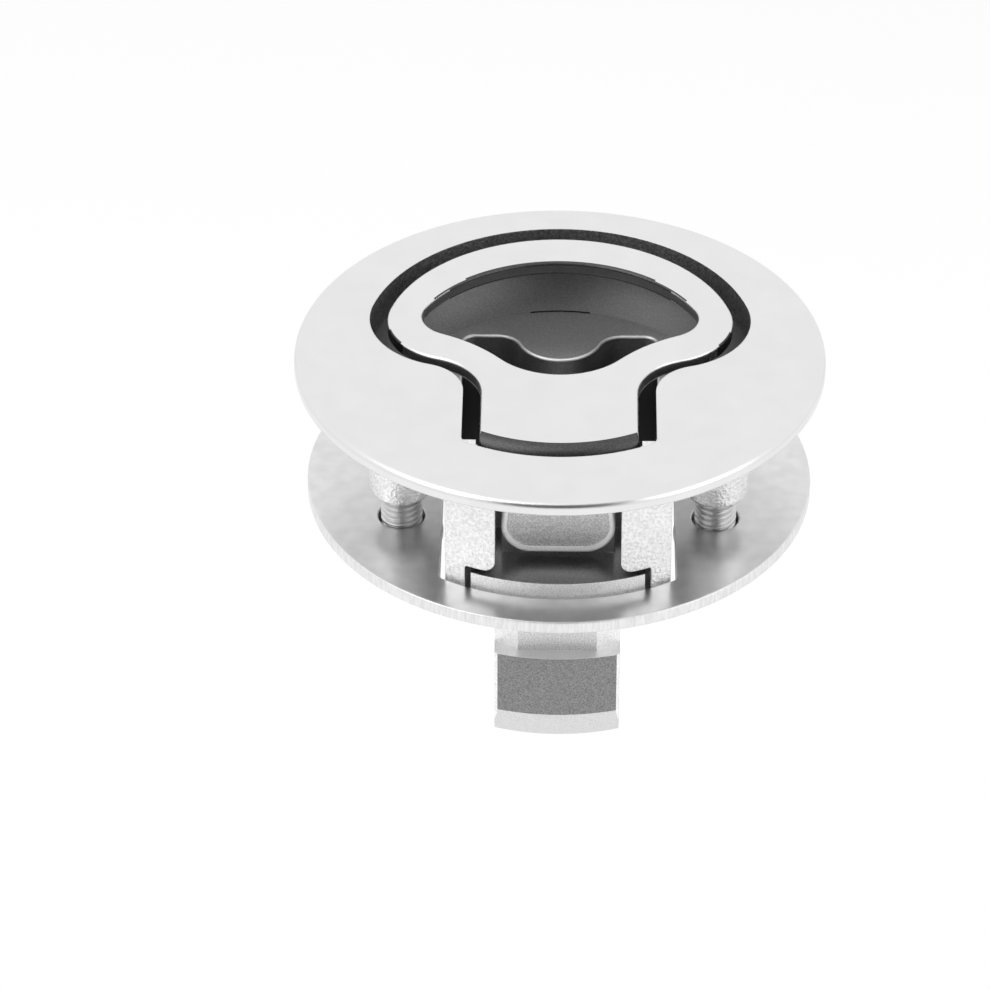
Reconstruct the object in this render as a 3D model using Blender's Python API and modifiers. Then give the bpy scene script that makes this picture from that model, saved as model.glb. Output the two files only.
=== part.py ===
"""Flush pull latch for a hatch or locker lid, with a sprung bolt and a clamping back plate.

The seating plane under the flange is z = 0, with the flange's axis at the origin. +Z points out of
the lid and the bolt's tongue faces -Y. All sizes are in metres.
"""
import math

import bmesh
import bpy
from mathutils import Matrix, Vector

# Clearances
SEAT_GAP = 0.0003
WING_GAP = 0.0007
CEILING_GAP = 0.0008
EAR_GAP = 0.0004
PLATE_GAP = 0.0004
HOLE_GAP = 0.0006
HEEL_SIDE_GAP = 0.0007
PUSH_GAP = 0.0028

# Flange
FLANGE_RADIUS = 0.03175
FLANGE_THICKNESS = 0.0015
FLANGE_EDGE = 0.0008

# Recess for the pull handle, a round dish with a neck towards the bolt
RECESS_CENTRE_Y = 0.0035
RIM_WIDTH = 0.00485
FRONT_RIM_WIDTH = 0.00955
RECESS_SHOULDER_RADIUS = 0.0105
SHOULDER_ANGLE = math.radians(165)
NECK_HALF_WIDTH = 0.0114
NECK_FILLET = 0.0057
NECK_CORNER_RADIUS = 0.0015
CASTING_WALL = 0.0014

# Finger dish
DISH_RIM_DEPTH = 0.0035
DISH_DEPTH = 0.0095
DISH_TAPER = 0.0041
DISH_BULGE = 0.0007
RIM_OVERCUT = 0.0003
DISH_FLOOR_THICKNESS = 0.0015
DISH_SHELF = 0.0096
LOBE_RADIUS = 0.0053
LOBE_FILLET = 0.003
CAVITY_STEP = 0.0005
CAVITY_CORNER_RADIUS = 0.0015

# Block under the flange that guides the bolt
PANEL_THICKNESS = 0.0163
BLOCK_REACH = 0.0022
FRONT_LIP = 0.0032
PIN_WALL = 0.0019
BLOCK_REAR_WALL = 0.0015
BLOCK_REAR_CORNER = 0.003
POST_STEP = 0.004
POST_LENGTH = 0.0109
POST_CORNER_RADIUS = 0.0015
NOTCH_DEPTH = 0.0048
NOTCH_WALL = 0.00235
NOTCH_CORNER_RADIUS = 0.0003
WEB_THICKNESS = 0.0012
CHANNEL_STEP = 0.0002
POCKET_WALL = 0.0023
POCKET_OVERLAP = 0.0025
SPRING_WALL_THICKNESS = 0.002
SPRING_LEDGE = 0.0008

# Ears in the neck's front corners
EAR_TOP = 0.0007
EAR_LENGTH = 0.0038
EAR_REAR_TOP = -0.0019
EAR_STEP = 0.0004

# Screw bosses
BOSS_OFFSET = 0.0013
BOSS_Y = -0.0092
BOSS_RADIUS = 0.0042
BOSS_TIP_RADIUS = 0.0035
BOSS_TAPER = 0.0004
BOSS_SETBACK = 0.0038
BOSS_ROOF = 0.0006

# Pull handle
RING_GAP = 0.0021
SHOULDER_GAP = 0.0016
FRONT_GAP = 0.0013
HANDLE_THICKNESS = 0.0018
HANDLE_EDGE = 0.0004
HANDLE_CORNER_RADIUS = 0.002
HANDLE_NOSE_RADIUS = 0.0021
NOSE_START = 80
NOSE_TRIM = 0.0003
KNUCKLE_INSET = 0.00005
RING_WIDTH = 0.0052
OPENING_SHIFT = 0.0025
OPENING_TIP_RADIUS = 0.0042
OPENING_TIP_ANGLE = math.radians(27.5)
OPENING_FLANK_RADIUS = 0.02
OPENING_BULGE_RADIUS = 0.0092
BRIDGE_LENGTH = 0.0123
BARREL_RADIUS = 0.0031
BARREL_REACH = 0.0055
HEEL_THICKNESS = 0.0017
HEEL_TAPER = 0.0004
HEEL_CORNER_RADIUS = 0.0035
HEEL_EDGE = 0.0005
GUSSET_STEP = 0.001
GUSSET_DROP = 0.0052

# Hinge
PIN_RADIUS = 0.0015
PIN_SETBACK = 0.0037
PIN_Z = -0.0031
PIN_CHAMFER = 0.0003
BOLT_TRAVEL = 0.0055

# Bolt
SLIDE_STEP = 0.0008
WING_LENGTH = 0.0064
PUSH_BLOCK_LENGTH = 0.0033
SPRING_BLOCK_LENGTH = 0.008
TONGUE_STEP = 0.00005
TONGUE_SETBACK = 0.0004
SHANK_THICKNESS = 0.0056
SHANK_CHAMFER = 0.0016
STRIKE_GAP = 0.008
HOOK_REACH = 0.0019
HOOK_HEIGHT = 0.0083
NOSE_RADIUS = 0.006
TONGUE_CORNER_RADIUS = 0.0018

# Bolt springs
SPRING_SIDE_WALL = 0.00118
SPRING_MIDDLE_WALL = 0.00178
SPRING_FLOOR = 0.00078
SPRING_WIRE_RADIUS = 0.00032
SPRING_TURNS = 8
CLOSED_TURN = 2.6
SPRING_POCKET_DEPTH = 0.0045
SPRING_POCKET_GAP = 0.0004
SPIGOT_LENGTH = 0.003

# Slide cover
COVER_THICKNESS = 0.0012
COVER_SETBACK = 0.0039
COVER_CORNER_RADIUS = 0.0012
COVER_SLOT_GAP = 0.00045
COVER_SCREW_INSET = 0.0027
COVER_SCREW_FRONT = 0.0067
COVER_SCREW_REAR = 0.004
COVER_SCREW_RADIUS = 0.00125
COVER_SCREW_HEAD_RADIUS = 0.0022
COVER_SCREW_HEAD_HEIGHT = 0.0015
COVER_SCREW_LENGTH = 0.0054

# Back plate
PLATE_SETBACK = 0.00125
PLATE_THICKNESS = 0.0016
PLATE_HOLE_CORNER = 0.0008
PLATE_EDGE = 0.00015

# Clamp screws and washers
SCREW_RADIUS = 0.0025
SCREW_HEAD_RADIUS = 0.0046
SCREW_HEAD_HEIGHT = 0.0029
SCREW_HEAD_EDGE = 0.0009
SCREW_TIP_Z = -0.0012
SCREW_CHAMFER = 0.0004
CROSS_WIDTH = 0.0009
CROSS_LENGTH = 0.005
CROSS_DEPTH = 0.0016
WASHER_RADIUS = 0.005
WASHER_THICKNESS = 0.001
LOCK_WASHER_RADIUS = 0.0044
LOCK_WASHER_THICKNESS = 0.0012
LOCK_WASHER_CUT = 0.0008

# Smoothness of round stretches
ARC_STEP = math.radians(9)
ROUND_SEGMENTS = 96
SMALL_SEGMENTS = 32
TINY_SEGMENTS = 20
HOLE_SEGMENTS = 28
SPRING_POINTS_PER_TURN = 10
CUT_PAST = 0.001
MERGE = 0.00001

# Derived places of the recess and the block
TOP = FLANGE_THICKNESS
RECESS_CENTRE = (0, RECESS_CENTRE_Y)
RECESS_RADIUS = FLANGE_RADIUS - RIM_WIDTH - RECESS_CENTRE_Y
NECK_FRONT_RADIUS = FLANGE_RADIUS - FRONT_RIM_WIDTH
DISH_FLOOR_RADIUS = RECESS_RADIUS - DISH_TAPER
DISH_FLOOR_Z = TOP - DISH_DEPTH
BLOCK_FRONT_RADIUS = NECK_FRONT_RADIUS + FRONT_LIP
BLOCK_HALF_WIDTH = NECK_HALF_WIDTH + PIN_WALL
BLOCK_BOTTOM = -PANEL_THICKNESS - BLOCK_REACH
POST_INNER_HALF_WIDTH = NECK_HALF_WIDTH - POST_STEP
POST_REAR_Y = POST_LENGTH - BLOCK_FRONT_RADIUS
NOTCH_CEILING = BLOCK_BOTTOM + NOTCH_DEPTH
NOTCH_HALF_WIDTH = BLOCK_HALF_WIDTH - NOTCH_WALL
CAVITY_HALF_WIDTH = NECK_HALF_WIDTH + CAVITY_STEP
CAVITY_REAR_Y = RECESS_CENTRE_Y + RECESS_RADIUS - DISH_SHELF
CAVITY_FLOOR = NOTCH_CEILING + WEB_THICKNESS
CAVITY_TOP = DISH_FLOOR_Z + CUT_PAST
BLOCK_REAR_Y = CAVITY_REAR_Y + BLOCK_REAR_WALL
SPRING_WALL_Y = CAVITY_REAR_Y - LOBE_RADIUS - SPRING_LEDGE
POCKET_RADIUS = BLOCK_FRONT_RADIUS - POCKET_WALL
POCKET_FLOOR = PIN_Z - BARREL_RADIUS - EAR_GAP
POCKET_REAR_Y = POST_REAR_Y + POCKET_OVERLAP
EAR_RIDGE_Y = EAR_LENGTH - NECK_FRONT_RADIUS
EAR_REAR_Y = POST_REAR_Y - EAR_STEP
BOSS_X = BLOCK_HALF_WIDTH + BOSS_RADIUS + BOSS_OFFSET
BOSS_DEPTH = PANEL_THICKNESS - BOSS_SETBACK

# Derived places of the handle
HANDLE_BOTTOM = TOP - HANDLE_THICKNESS
HANDLE_FRONT_RADIUS = NECK_FRONT_RADIUS - FRONT_GAP
HANDLE_NECK_HALF_WIDTH = NECK_HALF_WIDTH - RING_GAP
PIN_Y = PIN_SETBACK - HANDLE_FRONT_RADIUS
EAR_HALF_GAP = HANDLE_NECK_HALF_WIDTH + EAR_GAP
EAR_INNER = EAR_HALF_GAP - EAR_GAP / 2
OPENING_RADIUS = RECESS_RADIUS - RING_WIDTH
OPENING_CENTRE_Y = RECESS_CENTRE_Y - OPENING_SHIFT
OPENING_FRONT_Y = PIN_Y + BRIDGE_LENGTH
HEEL_REAR_Y = HEEL_THICKNESS - HANDLE_FRONT_RADIUS
HEEL_BOTTOM = CAVITY_FLOOR
HEEL_HALF_WIDTH = POST_INNER_HALF_WIDTH - HEEL_SIDE_GAP
HEEL_TOP_HALF_WIDTH = HEEL_HALF_WIDTH - HEEL_TAPER
GUSSET_HALF_WIDTH = HEEL_TOP_HALF_WIDTH - GUSSET_STEP
GUSSET_BOTTOM = PIN_Z - GUSSET_DROP

# Derived places of the bolt and its cover
WING_HALF_WIDTH = NOTCH_HALF_WIDTH - WING_GAP
WING_REAR_Y = WING_LENGTH - BLOCK_FRONT_RADIUS
WING_STOP_Y = WING_REAR_Y + BOLT_TRAVEL + SEAT_GAP
CHANNEL_FRONT_Y = POST_REAR_Y + CHANNEL_STEP
SLIDE_TOP = NOTCH_CEILING - CEILING_GAP
SLIDE_BOTTOM = BLOCK_BOTTOM + SEAT_GAP
SLIDE_HALF_WIDTH = POST_INNER_HALF_WIDTH + SLIDE_STEP
CHANNEL_HALF_WIDTH = SLIDE_HALF_WIDTH + SEAT_GAP
PUSH_FACE_Y = HEEL_REAR_Y + SEAT_GAP
PUSH_BLOCK_TOP = PIN_Z - BARREL_RADIUS - PUSH_GAP
PUSH_BLOCK_HALF_WIDTH = HEEL_HALF_WIDTH
PUSH_BLOCK_REAR_Y = PUSH_FACE_Y + PUSH_BLOCK_LENGTH
SHOULDER_Y = CHANNEL_FRONT_Y + SEAT_GAP
SLIDE_REAR_Y = SHOULDER_Y + SPRING_BLOCK_LENGTH
SPRING_BORE_RADIUS = (SLIDE_HALF_WIDTH - SPRING_SIDE_WALL - SPRING_MIDDLE_WALL) / 2
SPRING_RADIUS = SPRING_BORE_RADIUS - SPRING_POCKET_GAP - SPRING_WIRE_RADIUS
SPRING_X = SPRING_MIDDLE_WALL + SPRING_BORE_RADIUS
SPRING_Z = SLIDE_BOTTOM + SPRING_FLOOR + SPRING_BORE_RADIUS
SPRING_BLOCK_TOP = SPRING_Z + SPRING_BORE_RADIUS + SPRING_FLOOR
SPRING_FRONT_Y = SLIDE_REAR_Y - SPRING_POCKET_DEPTH + SEAT_GAP
SPRING_REAR_Y = SPRING_WALL_Y - SEAT_GAP
PLATE_TOP = -PANEL_THICKNESS
PLATE_BOTTOM = PLATE_TOP - PLATE_THICKNESS
TONGUE_HALF_WIDTH = POST_INNER_HALF_WIDTH + TONGUE_STEP
TONGUE_RADIUS = BLOCK_FRONT_RADIUS - TONGUE_SETBACK
SHANK_FRONT_Y = HOOK_REACH - TONGUE_RADIUS
TONGUE_REAR_Y = SHANK_FRONT_Y + SHANK_THICKNESS
HOOK_TOP = PLATE_BOTTOM - STRIKE_GAP
HOOK_FACE_BOTTOM = HOOK_TOP - HOOK_HEIGHT
TONGUE_BOTTOM = HOOK_FACE_BOTTOM - NOSE_RADIUS
COVER_TOP = BLOCK_BOTTOM - SEAT_GAP
COVER_BOTTOM = COVER_TOP - COVER_THICKNESS
COVER_FRONT_Y = COVER_SETBACK - BLOCK_FRONT_RADIUS
COVER_SLOT_HALF_WIDTH = TONGUE_HALF_WIDTH + COVER_SLOT_GAP
COVER_SLOT_REAR_Y = TONGUE_REAR_Y + BOLT_TRAVEL + HOLE_GAP
COVER_SCREW_X = BLOCK_HALF_WIDTH - COVER_SCREW_INSET
COVER_SCREW_ROWS = (POST_REAR_Y + COVER_SCREW_FRONT, BLOCK_REAR_Y - COVER_SCREW_REAR)

# Derived places of the back plate and its screws
PLATE_RADIUS = FLANGE_RADIUS - PLATE_SETBACK
PLATE_HOLE_HALF_WIDTH = BLOCK_HALF_WIDTH + HOLE_GAP
PLATE_HOLE_RADIUS = BLOCK_FRONT_RADIUS + PLATE_GAP
PLATE_HOLE_REAR_Y = BLOCK_REAR_Y + HOLE_GAP
WASHER_TOP = PLATE_BOTTOM - SEAT_GAP
LOCK_WASHER_TOP = WASHER_TOP - WASHER_THICKNESS - SEAT_GAP
HEAD_TOP = LOCK_WASHER_TOP - LOCK_WASHER_THICKNESS - SEAT_GAP

# Ways to lay a flat outline: (u, v, depth) becomes (x, y, z)
LAID_FLAT = Matrix.Identity(4)
SEEN_FROM_SIDE = Matrix(((0, 0, 1, 0), (1, 0, 0, 0), (0, 1, 0, 0), (0, 0, 0, 1)))
SEEN_FROM_FRONT = Matrix(((1, 0, 0, 0), (0, 0, -1, 0), (0, 1, 0, 0), (0, 0, 0, 1)))

MATERIALS = {
    "cast_steel": ((0.60, 0.60, 0.60), 0.38),
    "polished_steel": ((0.78, 0.78, 0.78), 0.16),
    "spring_steel": ((0.55, 0.56, 0.58), 0.25),
}


def clear_scene():
    """Empties the scene of objects and of collections left from an earlier run."""
    for item in list(bpy.data.objects):
        bpy.data.objects.remove(item, do_unlink=True)
    for group in list(bpy.data.collections):
        bpy.data.collections.remove(group)


def add_collection(name):
    """Makes a collection in the scene."""
    group = bpy.data.collections.new(name)
    bpy.context.scene.collection.children.link(group)
    return group


def add_object(name, data):
    """Links an object for some data to the collection of parts."""
    item = bpy.data.objects.new(name, data)
    PARTS.objects.link(item)
    return item


def finish(item, finish_name):
    """Gives a part its own metal and smooth shading across its shallow edges."""
    colour, roughness = MATERIALS[finish_name]
    material = bpy.data.materials.new(item.name)
    material.use_nodes = True
    shader = material.node_tree.nodes["Principled BSDF"]
    shader.inputs["Base Color"].default_value = (*colour, 1)
    shader.inputs["Metallic"].default_value = 1
    shader.inputs["Roughness"].default_value = roughness
    item.data.materials.clear()
    item.data.materials.append(material)
    item.data.shade_smooth()
    item.data.set_sharp_from_angle(angle=math.radians(35))
    return item


def set_origin(item, point):
    """Moves a mesh object's origin to a point without moving its shape."""
    item.data.transform(Matrix.Translation(-Vector(point)))
    item.location = point


def shape(target, tool, operation):
    """Adds a Boolean of one solid on another and puts the tool away with the cutters."""
    modifier = target.modifiers.new(tool.name, "BOOLEAN")
    modifier.operation = operation
    modifier.solver = "EXACT"
    modifier.object = tool
    tool.hide_render = True
    tool.display_type = "WIRE"
    for group in list(tool.users_collection):
        group.objects.unlink(tool)
    CUTTERS.objects.link(tool)
    tool.parent = target
    tool.matrix_parent_inverse = Matrix.Translation(target.location).inverted()


def cut(target, tool):
    """Takes a tool away from a target."""
    shape(target, tool, "DIFFERENCE")


def join(target, tool):
    """Adds a tool to a target."""
    shape(target, tool, "UNION")


def trim(target, tool):
    """Keeps what a target shares with a tool."""
    shape(target, tool, "INTERSECT")


def belt(pegs):
    """Outline of a belt drawn tight round pegs (x, y, radius), anticlockwise.

    A positive radius turns the belt left round a peg inside the outline, and a negative one turns
    it right round a peg outside.
    """
    normals = []
    for here, (x1, y1, r1) in enumerate(pegs):
        x2, y2, r2 = pegs[(here + 1) % len(pegs)]
        distance = math.hypot(x2 - x1, y2 - y1)
        lean = math.acos(max(-1, min(1, (r1 - r2) / distance)))
        normals.append(math.atan2(y2 - y1, x2 - x1) - lean)
    points = []
    for here, (x, y, radius) in enumerate(pegs):
        turn = (normals[here] - normals[here - 1]) * math.copysign(1, radius) % math.tau
        if turn > math.tau - MERGE:
            turn = 0
        steps = max(1, math.ceil(turn / ARC_STEP)) if radius else 0
        for step in range(steps + 1):
            swept = turn * step / steps if steps else 0
            angle = normals[here - 1] + math.copysign(swept, radius)
            point = Vector((x + radius * math.cos(angle), y + radius * math.sin(angle)))
            if not points or (point - points[-1]).length > MERGE:
                points.append(point)
    if (points[0] - points[-1]).length <= MERGE:
        points.pop()
    return points


def circle(x, y, radius, segments):
    """Outline of a circle, anticlockwise."""
    angles = [math.tau * step / segments for step in range(segments)]
    return [Vector((x + radius * math.cos(a), y + radius * math.sin(a))) for a in angles]


def both_sides(pegs):
    """Pegs of the right half from front to back, and their mirror images from back to front."""
    return pegs + [(-x, y, radius) for x, y, radius in reversed(pegs)]


def rectangle(half_width, front, rear, corner=0.0):
    """Outline of a rectangle about x = 0 with rounded corners."""
    side = half_width - corner
    return belt(both_sides([(side, front + corner, corner), (side, rear - corner, corner)]))


def keyhole(grow, shoulder_grow, corner_radius, front_radius):
    """Outline of the recess, grown or shrunk, with its neck to the front."""
    radius = RECESS_RADIUS + grow
    shoulder = RECESS_SHOULDER_RADIUS + shoulder_grow
    half_width = NECK_HALF_WIDTH + grow
    fillet = NECK_FILLET - shoulder_grow
    shoulder_x = -(radius - shoulder) * math.cos(SHOULDER_ANGLE)
    shoulder_y = RECESS_CENTRE_Y + (radius - shoulder) * math.sin(SHOULDER_ANGLE)
    fillet_x = half_width + fillet
    fillet_y = shoulder_y - math.sqrt((shoulder + fillet) ** 2 - (fillet_x - shoulder_x) ** 2)
    corner_x = half_width - corner_radius
    corner_y = -math.sqrt((front_radius - corner_radius) ** 2 - corner_x ** 2)
    right = [
        (corner_x, corner_y, corner_radius),
        (fillet_x, fillet_y, -fillet),
        (shoulder_x, shoulder_y, shoulder),
    ]
    left = [(-x, y, r) for x, y, r in reversed(right)]
    return belt([(0, 0, front_radius)] + right + [(0, RECESS_CENTRE_Y, radius)] + left)


def finger_opening():
    """Outline of the opening in the ring: a crescent with a bulge towards the neck."""
    reach = OPENING_RADIUS - OPENING_TIP_RADIUS
    tip = Vector((reach * math.cos(OPENING_TIP_ANGLE),
                  OPENING_CENTRE_Y + reach * math.sin(OPENING_TIP_ANGLE)))
    bulge = Vector((0, OPENING_FRONT_Y + OPENING_BULGE_RADIUS))
    to_bulge = OPENING_BULGE_RADIUS + OPENING_FLANK_RADIUS
    to_tip = OPENING_TIP_RADIUS + OPENING_FLANK_RADIUS
    between = (tip - bulge).length
    along = (to_bulge ** 2 - to_tip ** 2 + between ** 2) / (2 * between)
    aside = math.sqrt(to_bulge ** 2 - along ** 2)
    direction = (tip - bulge) / between
    flank = bulge + along * direction + aside * Vector((direction.y, -direction.x))
    right = [(flank.x, flank.y, -OPENING_FLANK_RADIUS), (tip.x, tip.y, OPENING_TIP_RADIUS)]
    left = [(-x, y, r) for x, y, r in reversed(right)]
    upper = [(0, OPENING_CENTRE_Y, OPENING_RADIUS)]
    return belt([(bulge.x, bulge.y, OPENING_BULGE_RADIUS)] + right + upper + left)


def as_mesh(item):
    """Turns a curve object into a mesh object of the same name with its caps welded."""
    bpy.context.view_layer.update()
    depsgraph = bpy.context.evaluated_depsgraph_get()
    mesh = bpy.data.meshes.new_from_object(item.evaluated_get(depsgraph))
    mesh.transform(item.matrix_world)
    name = item.name
    bpy.data.objects.remove(item, do_unlink=True)
    work = bmesh.new()
    work.from_mesh(mesh)
    bmesh.ops.remove_doubles(work, verts=work.verts, dist=MERGE / 10)
    bmesh.ops.recalc_face_normals(work, faces=work.faces)
    work.to_mesh(mesh)
    work.free()
    mesh.name = name
    return add_object(name, mesh)


def slab(name, outlines, low, high, edge=0.0, laid=LAID_FLAT):
    """Flat solid between two levels from an outline and its holes, with rounded edges."""
    curve = bpy.data.curves.new(name, "CURVE")
    curve.dimensions = "2D"
    curve.fill_mode = "BOTH"
    curve.extrude = (high - low) / 2 - edge
    curve.bevel_depth = edge
    curve.bevel_resolution = 1
    curve.offset = -edge
    for place, outline in enumerate(outlines):
        spline = curve.splines.new("POLY")
        spline.points.add(len(outline) - 1)
        ordered = outline if place == 0 else list(reversed(outline))
        for point, (x, y) in zip(spline.points, ordered):
            point.co = (x, y, 0, 1)
        spline.use_cyclic_u = True
    item = add_object(name, curve)
    item.matrix_world = laid @ Matrix.Translation((0, 0, (low + high) / 2))
    return as_mesh(item)


def box(name, low, high):
    """Block between two corners."""
    middle = (Vector(low) + Vector(high)) / 2
    size = Vector(high) - Vector(low)
    work = bmesh.new()
    bmesh.ops.create_cube(work, size=1, matrix=Matrix.Translation(middle) @ Matrix.Diagonal((*size, 1)))
    mesh = bpy.data.meshes.new(name)
    work.to_mesh(mesh)
    work.free()
    return add_object(name, mesh)


def rods(name, runs, segments=SMALL_SEGMENTS):
    """Straight cylinders in one object, each from a start and an end point and a radius."""
    work = bmesh.new()
    for start, end, radius in runs:
        start, end = Vector(start), Vector(end)
        turn = (end - start).to_track_quat("Z", "Y").to_matrix().to_4x4()
        bmesh.ops.create_cone(
            work, cap_ends=True, segments=segments, radius1=radius, radius2=radius,
            depth=(end - start).length, matrix=Matrix.Translation((start + end) / 2) @ turn)
    mesh = bpy.data.meshes.new(name)
    work.to_mesh(mesh)
    work.free()
    return add_object(name, mesh)


def turned(name, profile, place=(0, 0, 0), segments=ROUND_SEGMENTS):
    """Solid of revolution about a vertical axis from (radius, height) points, top to bottom."""
    mesh = bpy.data.meshes.new(name)
    count = len(profile)
    mesh.from_pydata([(r, 0, z) for r, z in profile], [(i, i + 1) for i in range(count - 1)], [])
    item = add_object(name, mesh)
    item.location = place
    screw = item.modifiers.new("turn", "SCREW")
    screw.steps = segments
    screw.render_steps = segments
    screw.use_merge_vertices = True
    screw.merge_threshold = MERGE
    return item


def arc(x, y, radius, start, end, steps):
    """Points of an arc between two angles in degrees."""
    angles = [math.radians(start + (end - start) * step / steps) for step in range(steps + 1)]
    return [(x + radius * math.cos(a), y + radius * math.sin(a)) for a in angles]


def recess_outline(grow=0.0):
    """Outline of the recess or, grown by the wall, of the casting round it."""
    return keyhole(grow, grow, NECK_CORNER_RADIUS, NECK_FRONT_RADIUS + grow)


def handle_outline(inset):
    """Outline of the pull handle inside its recess, drawn past its rounded front edge."""
    front = HANDLE_FRONT_RADIUS + NOSE_TRIM - inset
    return keyhole(-RING_GAP - inset, -SHOULDER_GAP - inset, HANDLE_CORNER_RADIUS, front)


def dish_wall(grow):
    """Curved wall of the finger dish as (radius, height) points, from its rim to its floor."""
    rim = Vector((RECESS_RADIUS + RIM_OVERCUT + grow, TOP - DISH_RIM_DEPTH))
    foot = Vector((DISH_FLOOR_RADIUS + grow, DISH_FLOOR_Z - grow))
    steps = 6
    bow = Vector((foot.y - rim.y, rim.x - foot.x)).normalized() * -DISH_BULGE
    points = []
    for step in range(steps + 1):
        share = step / steps
        point = rim.lerp(foot, share) + bow * 4 * share * (1 - share)
        points.append((point.x, point.y))
    return points


def add_flange():
    """Flange disc with a rounded outer edge."""
    rim = arc(FLANGE_RADIUS - FLANGE_EDGE, TOP - FLANGE_EDGE, FLANGE_EDGE, 90, 0, 3)
    profile = [(0, TOP)] + rim + [(FLANGE_RADIUS, 0), (0, 0)]
    return turned("housing", profile)


def add_bowl():
    """Outside of the finger dish below the flange."""
    outer = dish_wall(CASTING_WALL)
    inside_flange = FLANGE_THICKNESS / 2
    profile = [(0, inside_flange), (outer[0][0], inside_flange)] + outer + [(0, outer[-1][1])]
    bowl = turned("bowl", profile, (*RECESS_CENTRE, 0))
    reach = outer[-1][1] - CUT_PAST
    trim(bowl, slab("bowl_outline", [recess_outline(CASTING_WALL)], reach, TOP))
    return bowl


def add_block():
    """Block that carries the posts and guides the bolt, with its front on the cut-out's curve."""
    front_y = -math.sqrt(BLOCK_FRONT_RADIUS ** 2 - BLOCK_HALF_WIDTH ** 2)
    rear = BLOCK_REAR_Y - BLOCK_REAR_CORNER
    side = BLOCK_HALF_WIDTH - BLOCK_REAR_CORNER
    pegs = [(BLOCK_HALF_WIDTH, front_y, 0), (side, rear, BLOCK_REAR_CORNER)]
    outline = belt([(0, 0, BLOCK_FRONT_RADIUS)] + both_sides(pegs))
    return slab("block", [outline], BLOCK_BOTTOM, FLANGE_THICKNESS / 2)


def add_boss(side):
    """Tapered boss under the flange for a clamp screw."""
    low = -BOSS_DEPTH
    tip = BOSS_RADIUS - BOSS_TAPER - BOSS_TIP_RADIUS
    round_tip = arc(BOSS_TIP_RADIUS - BOSS_TAPER, low + tip * 2, tip * 2, 0, -90, 3)
    profile = [(0, FLANGE_THICKNESS / 2), (BOSS_RADIUS, FLANGE_THICKNESS / 2)]
    profile += round_tip + [(0, low)]
    return turned(f"boss_{side}", profile, (BOSS_X * SIDES[side], BOSS_Y, 0), SMALL_SEGMENTS)


def cavity_outline():
    """Outline of the room behind the posts, with a round lobe of the dish's floor at its rear."""
    corner = CAVITY_CORNER_RADIUS
    side = CAVITY_HALF_WIDTH - corner
    lobe_y = CAVITY_REAR_Y
    drop = lobe_y - (CAVITY_REAR_Y - LOBE_FILLET)
    fillet_x = math.sqrt((LOBE_RADIUS + LOBE_FILLET) ** 2 - drop ** 2)
    right = [
        (side, POST_REAR_Y + corner, corner),
        (side, CAVITY_REAR_Y - corner, corner),
        (fillet_x, CAVITY_REAR_Y - LOBE_FILLET, LOBE_FILLET),
    ]
    left = [(-x, y, r) for x, y, r in reversed(right)]
    return belt(right + [(0, lobe_y, -LOBE_RADIUS)] + left)


def gate_outline():
    """Front view of the opening between and under the posts, as (x, z)."""
    low = BLOCK_BOTTOM - CUT_PAST
    notch = NOTCH_CORNER_RADIUS
    right = [
        (NOTCH_HALF_WIDTH, low, 0),
        (NOTCH_HALF_WIDTH - notch, NOTCH_CEILING - notch, notch),
        (POST_INNER_HALF_WIDTH + POST_CORNER_RADIUS, NOTCH_CEILING + POST_CORNER_RADIUS,
         -POST_CORNER_RADIUS),
        (POST_INNER_HALF_WIDTH, 0, 0),
    ]
    return belt(both_sides(right))


def ear_outline():
    """Side view of an ear that carries the hinge pin, with a sloping back, as (y, z)."""
    return belt([
        (EAR_REAR_Y, BLOCK_BOTTOM, 0),
        (EAR_REAR_Y, EAR_REAR_TOP, 0),
        (EAR_RIDGE_Y, EAR_TOP, 0),
        (-BLOCK_FRONT_RADIUS, EAR_TOP, 0),
        (-BLOCK_FRONT_RADIUS, BLOCK_BOTTOM, 0),
    ])


def spare_ears(tool):
    """Leaves the ears standing in the front corners of the neck."""
    for side, sign in SIDES.items():
        inner, outer = EAR_INNER * sign, (NECK_HALF_WIDTH + CASTING_WALL) * sign
        cut(tool, slab(f"{tool.name}_ear_{side}", [ear_outline()], min(inner, outer),
                       max(inner, outer), laid=SEEN_FROM_SIDE))


def add_recess():
    """Room for the pull handle and the finger dish below it."""
    rim = TOP - DISH_RIM_DEPTH
    profile = [(0, TOP + CUT_PAST), (FLANGE_RADIUS, TOP + CUT_PAST), (FLANGE_RADIUS, rim)]
    recess = turned("recess", profile + dish_wall(0) + [(0, DISH_FLOOR_Z)], (*RECESS_CENTRE, 0))
    trim(recess, slab("recess_plan", [recess_outline()], DISH_FLOOR_Z - CUT_PAST,
                      TOP + 2 * CUT_PAST))
    spare_ears(recess)
    return recess


def add_pocket():
    """Room for the handle's knuckle, deeper towards the front under the flange."""
    neck = NECK_FRONT_RADIUS - CUT_PAST / 2
    high = TOP + 2 * CUT_PAST
    pocket = turned("pocket", [(0, high), (neck, high), (neck, 0), (POCKET_RADIUS, 0),
                               (POCKET_RADIUS, POCKET_FLOOR), (0, POCKET_FLOOR)])
    trim(pocket, box("pocket_sides", (-EAR_HALF_GAP, -BLOCK_FRONT_RADIUS, POCKET_FLOOR - CUT_PAST),
                     (EAR_HALF_GAP, POCKET_REAR_Y, high + CUT_PAST)))
    return pocket


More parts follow.
